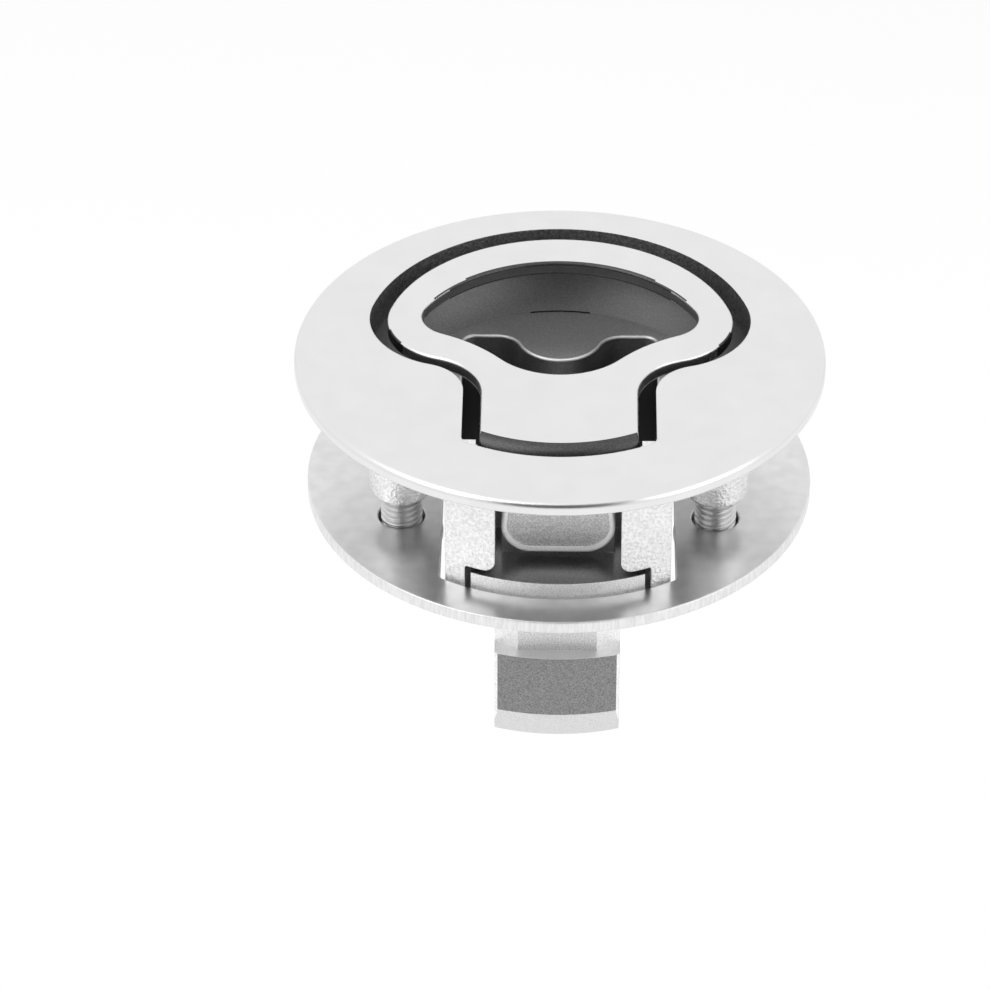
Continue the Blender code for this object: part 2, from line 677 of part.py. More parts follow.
def cut_housing(housing):
    """Recess, dish and bolt guide of the casting."""
    cut(housing, add_recess())
    cut(housing, slab("cavity", [cavity_outline()], CAVITY_FLOOR, CAVITY_TOP))
    gate = slab("gate", [gate_outline()], -WING_STOP_Y, BLOCK_FRONT_RADIUS + CUT_PAST,
                laid=SEEN_FROM_FRONT)
    cut(housing, gate)
    low = BLOCK_BOTTOM - CUT_PAST
    cut(housing, box("channel", (-CHANNEL_HALF_WIDTH, CHANNEL_FRONT_Y, low),
                     (CHANNEL_HALF_WIDTH, SPRING_WALL_Y, CAVITY_FLOOR + CUT_PAST)))
    cut(housing, add_pocket())
    hollow_front = SPRING_WALL_Y + SPRING_WALL_THICKNESS
    cut(housing, box("rear_hollow", (-CHANNEL_HALF_WIDTH, hollow_front, low),
                     (CHANNEL_HALF_WIDTH, BLOCK_REAR_Y - SPRING_WALL_THICKNESS,
                      CAVITY_FLOOR - DISH_FLOOR_THICKNESS)))


def add_spigots():
    """Spigots on the spring wall that hold the springs' rear ends."""
    radius = SPRING_RADIUS - SPRING_WIRE_RADIUS - SEAT_GAP
    root = SPRING_WALL_Y + SPRING_WALL_THICKNESS / 2
    return rods("spigots", [
        ((SPRING_X * sign, SPRING_WALL_Y - SPIGOT_LENGTH, SPRING_Z), (SPRING_X * sign, root, SPRING_Z),
         radius) for sign in SIDES.values()], TINY_SEGMENTS)


def add_holes():
    """Holes for the hinge pin, the clamp screws and the cover's screws."""
    reach = BLOCK_HALF_WIDTH + CUT_PAST
    runs = [((-reach, PIN_Y, PIN_Z), (reach, PIN_Y, PIN_Z), PIN_RADIUS + SEAT_GAP)]
    for sign in SIDES.values():
        boss = (BOSS_X * sign, BOSS_Y)
        runs.append(((*boss, -BOSS_DEPTH - CUT_PAST), (*boss, -BOSS_ROOF), SCREW_RADIUS + SEAT_GAP))
        for y in COVER_SCREW_ROWS:
            place = (COVER_SCREW_X * sign, y)
            top = COVER_BOTTOM + COVER_SCREW_LENGTH + SEAT_GAP
            runs.append(((*place, BLOCK_BOTTOM - CUT_PAST), (*place, top),
                         COVER_SCREW_RADIUS + SEAT_GAP))
    return rods("holes", runs, HOLE_SEGMENTS)


def add_housing():
    """One casting: flange, dish, posts, bolt guide and screw bosses."""
    housing = add_flange()
    join(housing, add_bowl())
    join(housing, add_block())
    for side in SIDES:
        join(housing, add_boss(side))
    cut_housing(housing)
    join(housing, add_spigots())
    cut(housing, add_holes())
    return finish(housing, "polished_steel")


def knuckle_outline():
    """Side view of the handle's knuckle, a barrel round the pin under the neck, as (y, z)."""
    top = TOP + CUT_PAST
    return belt([
        (-HANDLE_FRONT_RADIUS - CUT_PAST, top, 0),
        (PIN_Y, PIN_Z, BARREL_RADIUS),
        (PIN_Y + BARREL_REACH, HANDLE_BOTTOM, 0),
        (PIN_Y + BARREL_REACH, top, 0),
    ])


def heel_outline():
    """Front view of the heel that pushes the bolt, as (x, z)."""
    corner = HEEL_CORNER_RADIUS
    side = HEEL_HALF_WIDTH - corner
    return belt(both_sides([
        (side, HEEL_BOTTOM + corner, corner),
        (HEEL_TOP_HALF_WIDTH, PIN_Z - PIN_RADIUS, 0),
    ]))


def gusset_outline():
    """Side view of the web between the heel and the knuckle, as (y, z)."""
    front = HEEL_REAR_Y - HEEL_THICKNESS / 2
    return belt([
        (front, GUSSET_BOTTOM, 0),
        (HEEL_REAR_Y - MERGE, GUSSET_BOTTOM, 0),
        (PIN_Y, PIN_Z - BARREL_RADIUS / 2, 0),
        (front, PIN_Z - BARREL_RADIUS / 2, 0),
    ])


def add_nose():
    """Everything behind the handle's rounded front edge, which is concentric with the flange."""
    x, z = HANDLE_FRONT_RADIUS - HANDLE_NOSE_RADIUS, TOP - HANDLE_NOSE_RADIUS
    start = math.radians(NOSE_START)
    high = TOP + CUT_PAST
    rise = high - z - HANDLE_NOSE_RADIUS * math.sin(start)
    run_in = x + HANDLE_NOSE_RADIUS * math.cos(start) - rise * math.tan(start)
    low = HEEL_BOTTOM - CUT_PAST
    profile = [(0, high), (run_in, high)] + arc(x, z, HANDLE_NOSE_RADIUS, NOSE_START, 0, 6)
    nose = turned("handle_nose", profile + [(HANDLE_FRONT_RADIUS, low), (0, low)])
    join(nose, box("behind_nose", (-FLANGE_RADIUS, PIN_Y + BARREL_REACH, low - CUT_PAST),
                   (FLANGE_RADIUS, FLANGE_RADIUS, high + CUT_PAST)))
    return nose


def add_handle():
    """Pull handle: a ring plate with a finger opening, a knuckle round the pin and a heel."""
    handle = slab("pull_handle", [handle_outline(0), finger_opening()], HANDLE_BOTTOM, TOP,
                  HANDLE_EDGE)
    set_origin(handle, (0, PIN_Y, PIN_Z))
    half_width = HANDLE_NECK_HALF_WIDTH + CUT_PAST
    knuckle = slab("knuckle", [knuckle_outline()], -half_width, half_width, laid=SEEN_FROM_SIDE)
    trim(knuckle, slab("knuckle_plan", [handle_outline(KNUCKLE_INSET)], PIN_Z - 2 * BARREL_RADIUS,
                       TOP - HANDLE_THICKNESS / 2))
    join(handle, knuckle)
    trim(handle, add_nose())
    join(handle, slab("heel", [heel_outline()], -HEEL_REAR_Y, HEEL_THICKNESS - HEEL_REAR_Y,
                      HEEL_EDGE, SEEN_FROM_FRONT))
    join(handle, slab("gusset", [gusset_outline()], -GUSSET_HALF_WIDTH, GUSSET_HALF_WIDTH,
                      laid=SEEN_FROM_SIDE))
    reach = BLOCK_HALF_WIDTH
    bore = [((-reach, PIN_Y, PIN_Z), (reach, PIN_Y, PIN_Z), PIN_RADIUS + SEAT_GAP)]
    cut(handle, rods("handle_bore", bore))
    return finish(handle, "polished_steel")


def add_pin():
    """Hinge pin across the posts, with chamfered ends."""
    half = BLOCK_HALF_WIDTH - SEAT_GAP
    slim = PIN_RADIUS - PIN_CHAMFER
    profile = [(0, half), (slim, half), (PIN_RADIUS, half - PIN_CHAMFER),
               (PIN_RADIUS, -half + PIN_CHAMFER), (slim, -half), (0, -half)]
    pin = turned("hinge_pin", profile, (0, PIN_Y, PIN_Z), SMALL_SEGMENTS)
    pin.rotation_euler = (0, math.pi / 2, 0)
    return finish(pin, "polished_steel")


def slide_outline():
    """Plan of the bolt's slide, wide at its wings and narrow behind them."""
    front_y = -math.sqrt(BLOCK_FRONT_RADIUS ** 2 - WING_HALF_WIDTH ** 2)
    right = [
        (WING_HALF_WIDTH, front_y, 0),
        (WING_HALF_WIDTH, WING_REAR_Y, 0),
        (SLIDE_HALF_WIDTH, WING_REAR_Y, 0),
        (SLIDE_HALF_WIDTH, SLIDE_REAR_Y, 0),
    ]
    return belt([(0, 0, BLOCK_FRONT_RADIUS)] + both_sides(right))


def tongue_outline():
    """Side view of the hooked tongue, drawn past its curved face and its nose, as (y, z)."""
    front = -TONGUE_RADIUS - CUT_PAST
    low = TONGUE_BOTTOM - CUT_PAST
    top = (SLIDE_TOP + SLIDE_BOTTOM) / 2
    return belt([
        (TONGUE_REAR_Y, low, 0),
        (TONGUE_REAR_Y, top, 0),
        (SHANK_FRONT_Y, top, 0),
        (SHANK_FRONT_Y, HOOK_TOP, 0),
        (front, HOOK_TOP, 0),
        (front, low, 0),
    ])


def chamfer_outline(sign):
    """Plan of what is cut off a front edge of the tongue's shank."""
    far = (TONGUE_HALF_WIDTH + CUT_PAST) * sign
    reach = SHANK_CHAMFER + CUT_PAST
    corners = [(far, SHANK_FRONT_Y + reach), (far, SHANK_FRONT_Y - CUT_PAST),
               (far - 2 * reach * sign, SHANK_FRONT_Y - CUT_PAST)]
    return [Vector(corner) for corner in corners[::-sign]]


def add_tongue():
    """Hooked tongue of the bolt, with a chamfered shank, a round nose and rounded corners."""
    tongue = slab("tongue", [tongue_outline()], -TONGUE_HALF_WIDTH, TONGUE_HALF_WIDTH,
                  laid=SEEN_FROM_SIDE)
    front_view = rectangle(TONGUE_HALF_WIDTH, TONGUE_BOTTOM - CUT_PAST / 2, SLIDE_TOP,
                           TONGUE_CORNER_RADIUS)
    trim(tongue, slab("tongue_front", [front_view], 0, FLANGE_RADIUS, laid=SEEN_FROM_FRONT))
    nose = arc(TONGUE_RADIUS - NOSE_RADIUS, HOOK_FACE_BOTTOM, NOSE_RADIUS, 0, -90, 9)
    curve = [(0, SLIDE_TOP), (TONGUE_RADIUS, SLIDE_TOP)] + nose + [(0, TONGUE_BOTTOM)]
    trim(tongue, turned("tongue_curve", curve))
    for side, sign in SIDES.items():
        cut(tongue, slab(f"shank_chamfer_{side}", [chamfer_outline(sign)], HOOK_TOP + MERGE,
                         SLIDE_TOP))
    return tongue


def add_bolt():
    """Bolt: a winged slide with a push block, two spring pockets and the hooked tongue."""
    bolt = slab("bolt", [slide_outline()], SLIDE_BOTTOM, SLIDE_TOP)
    set_origin(bolt, (0, PIN_Y, (SLIDE_TOP + SLIDE_BOTTOM) / 2))
    root = (SLIDE_TOP + SLIDE_BOTTOM) / 2
    join(bolt, box("push_block", (-PUSH_BLOCK_HALF_WIDTH, PUSH_FACE_Y, root),
                   (PUSH_BLOCK_HALF_WIDTH, PUSH_BLOCK_REAR_Y, PUSH_BLOCK_TOP)))
    join(bolt, box("spring_block_neck", (-PUSH_BLOCK_HALF_WIDTH, PUSH_FACE_Y + MERGE, root),
                   (PUSH_BLOCK_HALF_WIDTH, SLIDE_REAR_Y - CUT_PAST, SPRING_BLOCK_TOP)))
    join(bolt, box("spring_block", (-SLIDE_HALF_WIDTH + MERGE, SHOULDER_Y, root),
                   (SLIDE_HALF_WIDTH - MERGE, SLIDE_REAR_Y - MERGE, SPRING_BLOCK_TOP + MERGE)))
    join(bolt, add_tongue())
    bottom = SLIDE_REAR_Y - SPRING_POCKET_DEPTH
    cut(bolt, rods("spring_pockets", [
        ((SPRING_X * sign, bottom, SPRING_Z), (SPRING_X * sign, SLIDE_REAR_Y + CUT_PAST, SPRING_Z),
         SPRING_BORE_RADIUS) for sign in SIDES.values()]))
    return finish(bolt, "cast_steel")


def add_spring(side):
    """Compression spring between the bolt and the casting's spring wall, with closed ends."""
    wire = SPRING_WIRE_RADIUS
    length = SPRING_REAR_Y - SPRING_FRONT_Y - 2 * wire
    closed = CLOSED_TURN * wire
    open_pitch = (length - 2 * closed) / (SPRING_TURNS - 2)
    curve = bpy.data.curves.new(f"bolt_spring_{side}", "CURVE")
    curve.dimensions = "3D"
    curve.bevel_depth = wire
    curve.bevel_resolution = 2
    curve.use_fill_caps = True
    count = SPRING_TURNS * SPRING_POINTS_PER_TURN + 1
    spline = curve.splines.new("POLY")
    spline.points.add(count - 1)
    for step, point in enumerate(spline.points):
        turns = step / SPRING_POINTS_PER_TURN
        y = closed * min(turns, 1) + open_pitch * min(max(turns - 1, 0), SPRING_TURNS - 2)
        y += closed * max(turns - SPRING_TURNS + 1, 0)
        angle = math.tau * turns
        point.co = (SPRING_RADIUS * math.cos(angle), y, SPRING_RADIUS * math.sin(angle), 1)
    spring = as_mesh(add_object(f"bolt_spring_{side}", curve))
    spring.location = (SPRING_X * SIDES[side], SPRING_FRONT_Y + wire, SPRING_Z)
    return finish(spring, "spring_steel")


def add_cover():
    """Slide cover under the block, forked round the tongue."""
    side = BLOCK_HALF_WIDTH - SEAT_GAP - COVER_CORNER_RADIUS
    corner = COVER_CORNER_RADIUS
    slot_corner = COVER_SLOT_HALF_WIDTH - corner
    right = [
        (COVER_SLOT_HALF_WIDTH + corner, COVER_FRONT_Y + corner, corner),
        (side, COVER_FRONT_Y + corner, corner),
        (side, BLOCK_REAR_Y - SEAT_GAP - corner, corner),
    ]
    left = [(-x, y, r) for x, y, r in reversed(right)]
    slot = [(-slot_corner, COVER_SLOT_REAR_Y - corner, -corner),
            (slot_corner, COVER_SLOT_REAR_Y - corner, -corner)]
    outlines = [belt(right + left + slot)]
    for sign in SIDES.values():
        for y in COVER_SCREW_ROWS:
            hole = COVER_SCREW_RADIUS + SEAT_GAP
            outlines.append(circle(COVER_SCREW_X * sign, y, hole, TINY_SEGMENTS))
    cover = slab("slide_cover", outlines, COVER_BOTTOM, COVER_TOP)
    return finish(cover, "cast_steel")


def screw_profile(radius, head_radius, head_height, edge, length):
    """Pan-head screw with its head down, as (radius, height) points above the head's seat."""
    rounding = arc(head_radius - edge, -head_height + edge, edge, 0, -90, 4)
    return [(0, length), (radius - SCREW_CHAMFER, length), (radius, length - SCREW_CHAMFER),
            (radius, 0), (head_radius, 0)] + rounding + [(0, -head_height)]


def add_cover_screw(side, row):
    """Small pan-head screw that holds the slide cover."""
    profile = screw_profile(COVER_SCREW_RADIUS, COVER_SCREW_HEAD_RADIUS, COVER_SCREW_HEAD_HEIGHT,
                            SCREW_HEAD_EDGE / 2, COVER_SCREW_LENGTH)
    place = (COVER_SCREW_X * SIDES[side], COVER_SCREW_ROWS[row], COVER_BOTTOM - SEAT_GAP)
    name = f"cover_screw_{side}_{ROW_NAMES[row]}"
    return finish(turned(name, profile, place, TINY_SEGMENTS), "polished_steel")


def add_plate():
    """Back plate that clamps the lid from below."""
    corner_x = PLATE_HOLE_HALF_WIDTH - PLATE_HOLE_CORNER
    corner_y = -math.sqrt((PLATE_HOLE_RADIUS - PLATE_HOLE_CORNER) ** 2 - corner_x ** 2)
    rear_corner = BLOCK_REAR_CORNER + HOLE_GAP
    right = [
        (corner_x, corner_y, PLATE_HOLE_CORNER),
        (PLATE_HOLE_HALF_WIDTH - rear_corner, PLATE_HOLE_REAR_Y - rear_corner, rear_corner),
    ]
    hole = belt([(0, 0, PLATE_HOLE_RADIUS)] + both_sides(right))
    outlines = [circle(0, 0, PLATE_RADIUS, ROUND_SEGMENTS), hole]
    for sign in SIDES.values():
        outlines.append(circle(BOSS_X * sign, BOSS_Y, SCREW_RADIUS + SEAT_GAP, SMALL_SEGMENTS))
    plate = slab("back_plate", outlines, PLATE_BOTTOM, PLATE_TOP, PLATE_EDGE)
    return finish(plate, "polished_steel")


def add_clamp_screw(side):
    """Pan-head clamp screw with a cross recess."""
    profile = screw_profile(SCREW_RADIUS, SCREW_HEAD_RADIUS, SCREW_HEAD_HEIGHT, SCREW_HEAD_EDGE,
                            SCREW_TIP_Z - HEAD_TOP)
    place = Vector((BOSS_X * SIDES[side], BOSS_Y, HEAD_TOP))
    screw = turned(f"clamp_screw_{side}", profile, place, SMALL_SEGMENTS)
    low = HEAD_TOP - SCREW_HEAD_HEIGHT
    for name, half_x, half_y in (("across", CROSS_LENGTH / 2, CROSS_WIDTH / 2),
                                 ("along", CROSS_WIDTH / 2, CROSS_LENGTH / 2)):
        cut(screw, box(f"cross_{name}_{side}",
                       (place.x - half_x, place.y - half_y, low - CUT_PAST),
                       (place.x + half_x, place.y + half_y, low + CROSS_DEPTH)))
    return finish(screw, "polished_steel")


def add_washer(side):
    """Flat washer under a clamp screw's head."""
    place = (BOSS_X * SIDES[side], BOSS_Y)
    outlines = [circle(*place, WASHER_RADIUS, SMALL_SEGMENTS),
                circle(*place, SCREW_RADIUS + SEAT_GAP, SMALL_SEGMENTS)]
    washer = slab(f"flat_washer_{side}", outlines, WASHER_TOP - WASHER_THICKNESS, WASHER_TOP)
    return finish(washer, "polished_steel")


def add_lock_washer(side):
    """Split spring washer between the flat washer and the screw's head."""
    x, y = BOSS_X * SIDES[side], BOSS_Y
    inner, outer = SCREW_RADIUS + SEAT_GAP, LOCK_WASHER_RADIUS
    half_cut = LOCK_WASHER_CUT / 2
    outline = []
    for radius, direction in ((outer, 1), (inner, -1)):
        start = math.asin(half_cut / radius)
        angles = [start + (math.tau - 2 * start) * step / SMALL_SEGMENTS
                  for step in range(SMALL_SEGMENTS + 1)]
        ring = [Vector((x + radius * math.cos(a), y + radius * math.sin(a))) for a in angles]
        outline += ring[::direction]
    washer = slab(f"lock_washer_{side}", [outline], LOCK_WASHER_TOP - LOCK_WASHER_THICKNESS,
                  LOCK_WASHER_TOP)
    return finish(washer, "spring_steel")


SIDES = {"left": -1, "right": 1}
ROW_NAMES = ("front", "rear")

clear_scene()
PARTS = add_collection("flush_pull_latch")
CUTTERS = add_collection("cutters")

add_housing()
add_handle()
add_pin()
add_bolt()
add_cover()
add_plate()
for side_name in SIDES:
    add_spring(side_name)
    add_clamp_screw(side_name)
    add_washer(side_name)
    add_lock_washer(side_name)
    for row_number in range(len(COVER_SCREW_ROWS)):
        add_cover_screw(side_name, row_number)
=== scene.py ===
"""Models and finishes the flush pull latch over its packed frame, and sets its studio."""

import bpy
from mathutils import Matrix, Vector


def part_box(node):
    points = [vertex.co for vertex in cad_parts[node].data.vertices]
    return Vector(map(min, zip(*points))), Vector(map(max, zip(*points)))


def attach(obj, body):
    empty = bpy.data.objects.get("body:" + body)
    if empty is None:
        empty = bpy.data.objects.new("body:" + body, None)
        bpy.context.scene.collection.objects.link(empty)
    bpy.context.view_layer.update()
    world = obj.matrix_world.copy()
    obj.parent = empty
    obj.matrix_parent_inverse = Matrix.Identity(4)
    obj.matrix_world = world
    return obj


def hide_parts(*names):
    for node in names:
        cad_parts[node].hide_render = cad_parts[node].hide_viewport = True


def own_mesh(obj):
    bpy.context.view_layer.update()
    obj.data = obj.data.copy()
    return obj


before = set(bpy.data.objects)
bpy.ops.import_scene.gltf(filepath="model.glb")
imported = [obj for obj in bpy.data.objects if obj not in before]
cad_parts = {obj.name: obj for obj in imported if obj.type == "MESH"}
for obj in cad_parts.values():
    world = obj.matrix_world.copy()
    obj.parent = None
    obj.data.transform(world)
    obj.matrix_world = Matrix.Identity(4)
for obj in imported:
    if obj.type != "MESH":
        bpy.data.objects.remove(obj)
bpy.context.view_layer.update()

import math

import bmesh
import bpy
from bpy.props import FloatProperty, FloatVectorProperty, IntProperty, PointerProperty
from bpy.types import Operator, Panel, PropertyGroup
from mathutils import Matrix, Vector

bl_info = {
    "name": "Flush pull latch",
    "version": (1, 0, 0),
    "blender": (4, 5, 0),
    "location": "3D View > Sidebar > Latch",
    "description": "A round flush pull latch with a sprung bolt and a clamping back plate",
    "category": "Add Mesh",
}

# Places read from the frame
FLANGE_RADIUS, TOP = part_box("housing")[1].x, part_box("housing")[1].z
BLOCK_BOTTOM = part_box("housing")[0].z
PLATE_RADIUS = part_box("back_plate")[1].x
PLATE_TOP, PLATE_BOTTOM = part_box("back_plate")[1].z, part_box("back_plate")[0].z
COVER_TOP, COVER_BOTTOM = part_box("slide_cover")[1].z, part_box("slide_cover")[0].z
TONGUE_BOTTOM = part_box("bolt")[0].z

# Clearances
SEAT_GAP = 0.0003
EAR_GAP = 0.0004
HOLE_GAP = 0.0006

# Smoothness and tolerances
ARC_STEP = math.radians(3)
ROUND_STEPS = 240
SMALL_STEPS = 64
TINY_STEPS = 40
EDGE_STEPS = 3
SHARP = math.radians(32)
CUT_PAST = 0.001
MERGE = 0.00001

# Recess, block and bosses of the housing
RECESS_CENTRE_Y = 0.0035
RECESS_RADIUS = 0.0234
SHOULDER_RADIUS = 0.0105
SHOULDER_ANGLE = math.radians(165)
NECK_HALF_WIDTH = 0.0114
NECK_FILLET = 0.0057
NECK_CORNER = 0.0015
NECK_FRONT_RADIUS = 0.0222
CASTING_WALL = 0.0014
RIM_Z = TOP - 0.0035
DISH_FLOOR_RADIUS = 0.0193
DISH_BULGE = 0.0007
BLOCK_FRONT_RADIUS = 0.0254
BLOCK_HALF_WIDTH = 0.0133
BLOCK_REAR_Y = 0.0188
BLOCK_REAR_CORNER = 0.003
POST_INNER = 0.0074
POST_REAR_Y = -0.0145
POST_CORNER = 0.0015
NOTCH_CEILING = -0.0137
NOTCH_HALF_WIDTH = 0.01095
CAVITY_FLOOR = -0.0125
# Groove painted near black as a painted shadow line at the dish wall's foot
GROOVE_HALF_WIDTH = 0.0037
GROOVE_DEPTH = 0.0001
CAVITY_HALF_WIDTH = 0.0119
CAVITY_REAR_Y = 0.0173
CAVITY_CORNER = 0.0015
LOBE_RADIUS = 0.0053
LOBE_FILLET = 0.003
SPRING_WALL_Y = 0.0112
SPRING_WALL_THICKNESS = 0.002
POCKET_RADIUS = 0.0231
POCKET_FLOOR = -0.0066
POCKET_OVERLAP = 0.0025
CHANNEL_STEP = 0.0002
HOLLOW_ROOF = 0.0015
SPIGOT_LENGTH = 0.003
EAR_REAR_Y, EAR_REAR_TOP = -0.0149, -0.0019
EAR_RIDGE_Y = -0.0184
BOSS_X, BOSS_Y = 0.0188, -0.0092
BOSS_TIP_Z = -0.0125
BOSS_TAPER = 0.0004
SCREW_HOLE_TOP = -0.0006
COVER_SCREW_HOLE_DEPTH = 0.0057
# Steps of the cavity's flare, each out and up in shares of its edge radius
CAVITY_FLARE = ((0, -1), (0.06, -0.66), (0.36, -0.23), (1.5, 0.3))

# Handle and its hinge
RING_GAP = 0.0021
SHOULDER_GAP = 0.0016
HANDLE_FRONT_RADIUS = 0.0209
HANDLE_NECK_HALF_WIDTH = 0.0093
PIN_Y, PIN_Z = -0.0172, -0.0031
HEEL_REAR_Y = -0.0192
HEEL_HALF_WIDTH = 0.0067
HEEL_BOTTOM = -0.0132
HEEL_CORNER = 0.0035
HEEL_EDGE = 0.0004
HEEL_TAPER = 0.0004
HEEL_TOP_DROP = 0.0015
LIP_SIDE, LIP_LOW, LIP_HEIGHT = 0.0007, 0.001, 0.0002
GUSSET_HALF_WIDTH = 0.0053
GUSSET_BOTTOM = -0.0083
KNUCKLE_INSET = 0.00005
BARREL_REACH = 0.0055
NOSE_START = math.radians(80)
FRONT_BAND = 0.002
HANDLE_CORNER = 0.002
OPENING_SHIFT = 0.0025
OPENING_TIP_RADIUS = 0.0042
OPENING_TIP_ANGLE = math.radians(27.5)
OPENING_FLANK_RADIUS = 0.02
BRIDGE_LENGTH = 0.0123
EAR_HALF_GAP = HANDLE_NECK_HALF_WIDTH + EAR_GAP

# Bolt, springs and cover
BOLT_TRAVEL = 0.0055
SLIDE_TOP, SLIDE_BOTTOM = -0.0145, -0.0182
SLIDE_HALF_WIDTH = 0.0082
SLIDE_REAR_Y = -0.006
WING_HALF_WIDTH = 0.01025
WING_REAR_Y = -0.019
PUSH_FACE_Y = HEEL_REAR_Y + SEAT_GAP
HOOK_TOP = -0.0259
HOOK_FACE_BOTTOM = -0.0342
SHANK_FRONT_Y = -0.0231
TONGUE_REAR_Y = -0.0175
SPRING_X, SPRING_Z = 0.0044, -0.0148
SPRING_FRONT_Y, SPRING_REAR_Y = -0.0102, 0.0109
SPRING_POCKET_DEPTH = 0.0045
CLOSED_TURN = 2.6
PUSH_BLOCK_LENGTH = 0.0033
PUSH_BLOCK_TOP = -0.009
BLOCK_STEP = 0.0031
SPRING_BLOCK_SETBACK = 0.0005
COVER_FRONT_Y = -0.0215
COVER_CORNER = 0.0012
COVER_SLOT_GAP = 0.00045
COVER_SCREW_X = 0.0106
COVER_SCREW_ROWS = {"front": -0.0078, "rear": 0.0148}

# Fasteners, each cross recess with its two widths and its depth
PLATE_HOLE_CORNER = 0.0008
HEAD_TOP = -0.021
SCREW_TIP_Z = -0.0012
CROSS_DEPTH = 0.0016
SMALL_HEAD_HEIGHT = 0.0015
SMALL_SCREW_LENGTH = 0.0054
SMALL_CROSS = (0.0026, 0.0006, 0.0009)
WASHER_DROP = 0.0013
WASHER_EDGE = 0.0001
LOCK_WASHER_RADIUS = 0.0044
LOCK_WASHER_LOW, LOCK_WASHER_HIGH = -0.0207, -0.0195
LOCK_WASHER_EDGE = 0.00012
# Shares of a thread's pitch, and of a head's height
THREAD_DEPTH, THREAD_ROOT, THREAD_FLANK, THREAD_CREST = 0.6, 0.1, 0.45, 0.09
HEAD_ROUNDING = 0.45

# Studio
KEY_LAMP_PLACE = (-0.35, -0.25, 0.55)
FILL_LAMP_PLACE = (0.5, -0.3, 0.3)
LAMP_SIZE = 0.5
CARD_PLACE = (0, -0.68, 0.4)
CARD_DEPTH, CARD_GREY = 0.8, 0.08
FLOOR_SIZE, FLOOR_GREY = 3, 0.9
FLOOR_LIFT = 0.22
WORLD_LEVEL = 0.75
CAMERA_PLACE = (0, -0.4983, 0.3357)
CAMERA_AIM = (-0.0076, -0.00968, -0.01293)
SENSOR_WIDTH = 36
NEAREST_SEEN = 0.01

# Heights of the grain on cast, blasted and rolled metal
CAST_RELIEF, FINE_RELIEF, FAINT_RELIEF = 0.00014, 0.00005, 0.00003

SIDES = {"left": -1, "right": 1}

# Ways to lay a flat outline: (u, v, depth) becomes (x, y, z)
LAID_FLAT = Matrix.Identity(4)
SEEN_FROM_SIDE = Matrix(((0, 0, 1, 0), (1, 0, 0, 0), (0, 1, 0, 0), (0, 0, 0, 1)))
SEEN_FROM_FRONT = Matrix(((1, 0, 0, 0), (0, 0, -1, 0), (0, 1, 0, 0), (0, 0, 0, 1)))


def length(name, description, default):
    """A size that the sidebar shows in the scene's unit of length."""
    return FloatProperty(name=name, description=description, default=default, min=0,
                         precision=5, subtype="DISTANCE", unit="LENGTH")


def share(name, description, default):
    """A number from nought to one."""
    return FloatProperty(name=name, description=description, default=default, min=0, max=1,
                         subtype="FACTOR")


def colour(name, description, level):
    """A neutral metal colour from its level of grey."""
    return FloatVectorProperty(name=name, description=description, size=3, subtype="COLOR",
                               min=0, max=1, default=(level, level, level))


class HousingSizes(PropertyGroup):
    """Sizes of the cast housing."""
    flange_edge: length("Flange edge", "Radius of the flange's rounded edge", 0.0008)
    dish_floor: length("Dish depth", "Depth of the finger dish under the flange's top", 0.0095)
    cavity_edge: length("Cavity edge", "Radius of the rounded rim behind the posts", 0.0003)
    boss_radius: length("Boss radius", "Radius of the screw bosses at the flange", 0.0042)
    boss_tip: length("Boss tip radius", "Radius of the screw bosses at their tips", 0.0035)
    ear_top: length("Ear height", "Height of the ears over the seating plane", 0.0007)


class HandleSizes(PropertyGroup):
    """Sizes of the pull handle."""
    thickness: length("Ring thickness", "Thickness of the ring plate", 0.0018)
    edge: length("Edge radius", "Radius of the ring's rounded edges", 0.0004)
    nose: length("Nose radius", "Radius of the rounded front edge", 0.0021)
    opening: length("Opening radius", "Radius of the finger opening's rear edge", 0.0182)
    bulge: length("Bulge radius", "Radius of the opening's bulge towards the neck", 0.0092)
    barrel: length("Barrel radius", "Radius of the knuckle round the hinge pin", 0.0031)
    heel: length("Heel thickness", "Thickness of the heel that pushes the bolt", 0.0017)
    pin: length("Pin radius", "Radius of the hinge pin", 0.0015)


class BoltSizes(PropertyGroup):
    """Sizes of the sprung bolt, its springs and its cover."""
    tongue_half_width: length("Tongue half width", "Half the width of the tongue", 0.00745)
    tongue_radius: length("Tongue radius", "Radius of the tongue's curved face", 0.025)
    tongue_nose: length("Nose radius", "Radius of the tongue's rounded lower end", 0.006)
    tongue_corner: length("Corner radius", "Radius of the tongue's lower corners", 0.0018)
    tongue_edge: length("Tongue edge", "Chamfer on the upright edges of the tongue's face",
                        0.00025)
    chamfer: length("Shank chamfer", "Chamfer on the shank's front edges", 0.0016)
    spring_radius: length("Spring radius", "Radius of a spring at its wire's centre", 0.0019)
    wire_radius: length("Wire radius", "Radius of the springs' wire", 0.00032)
    spring_turns: IntProperty(name="Spring turns", description="Turns of each spring",
                              default=8, min=4)


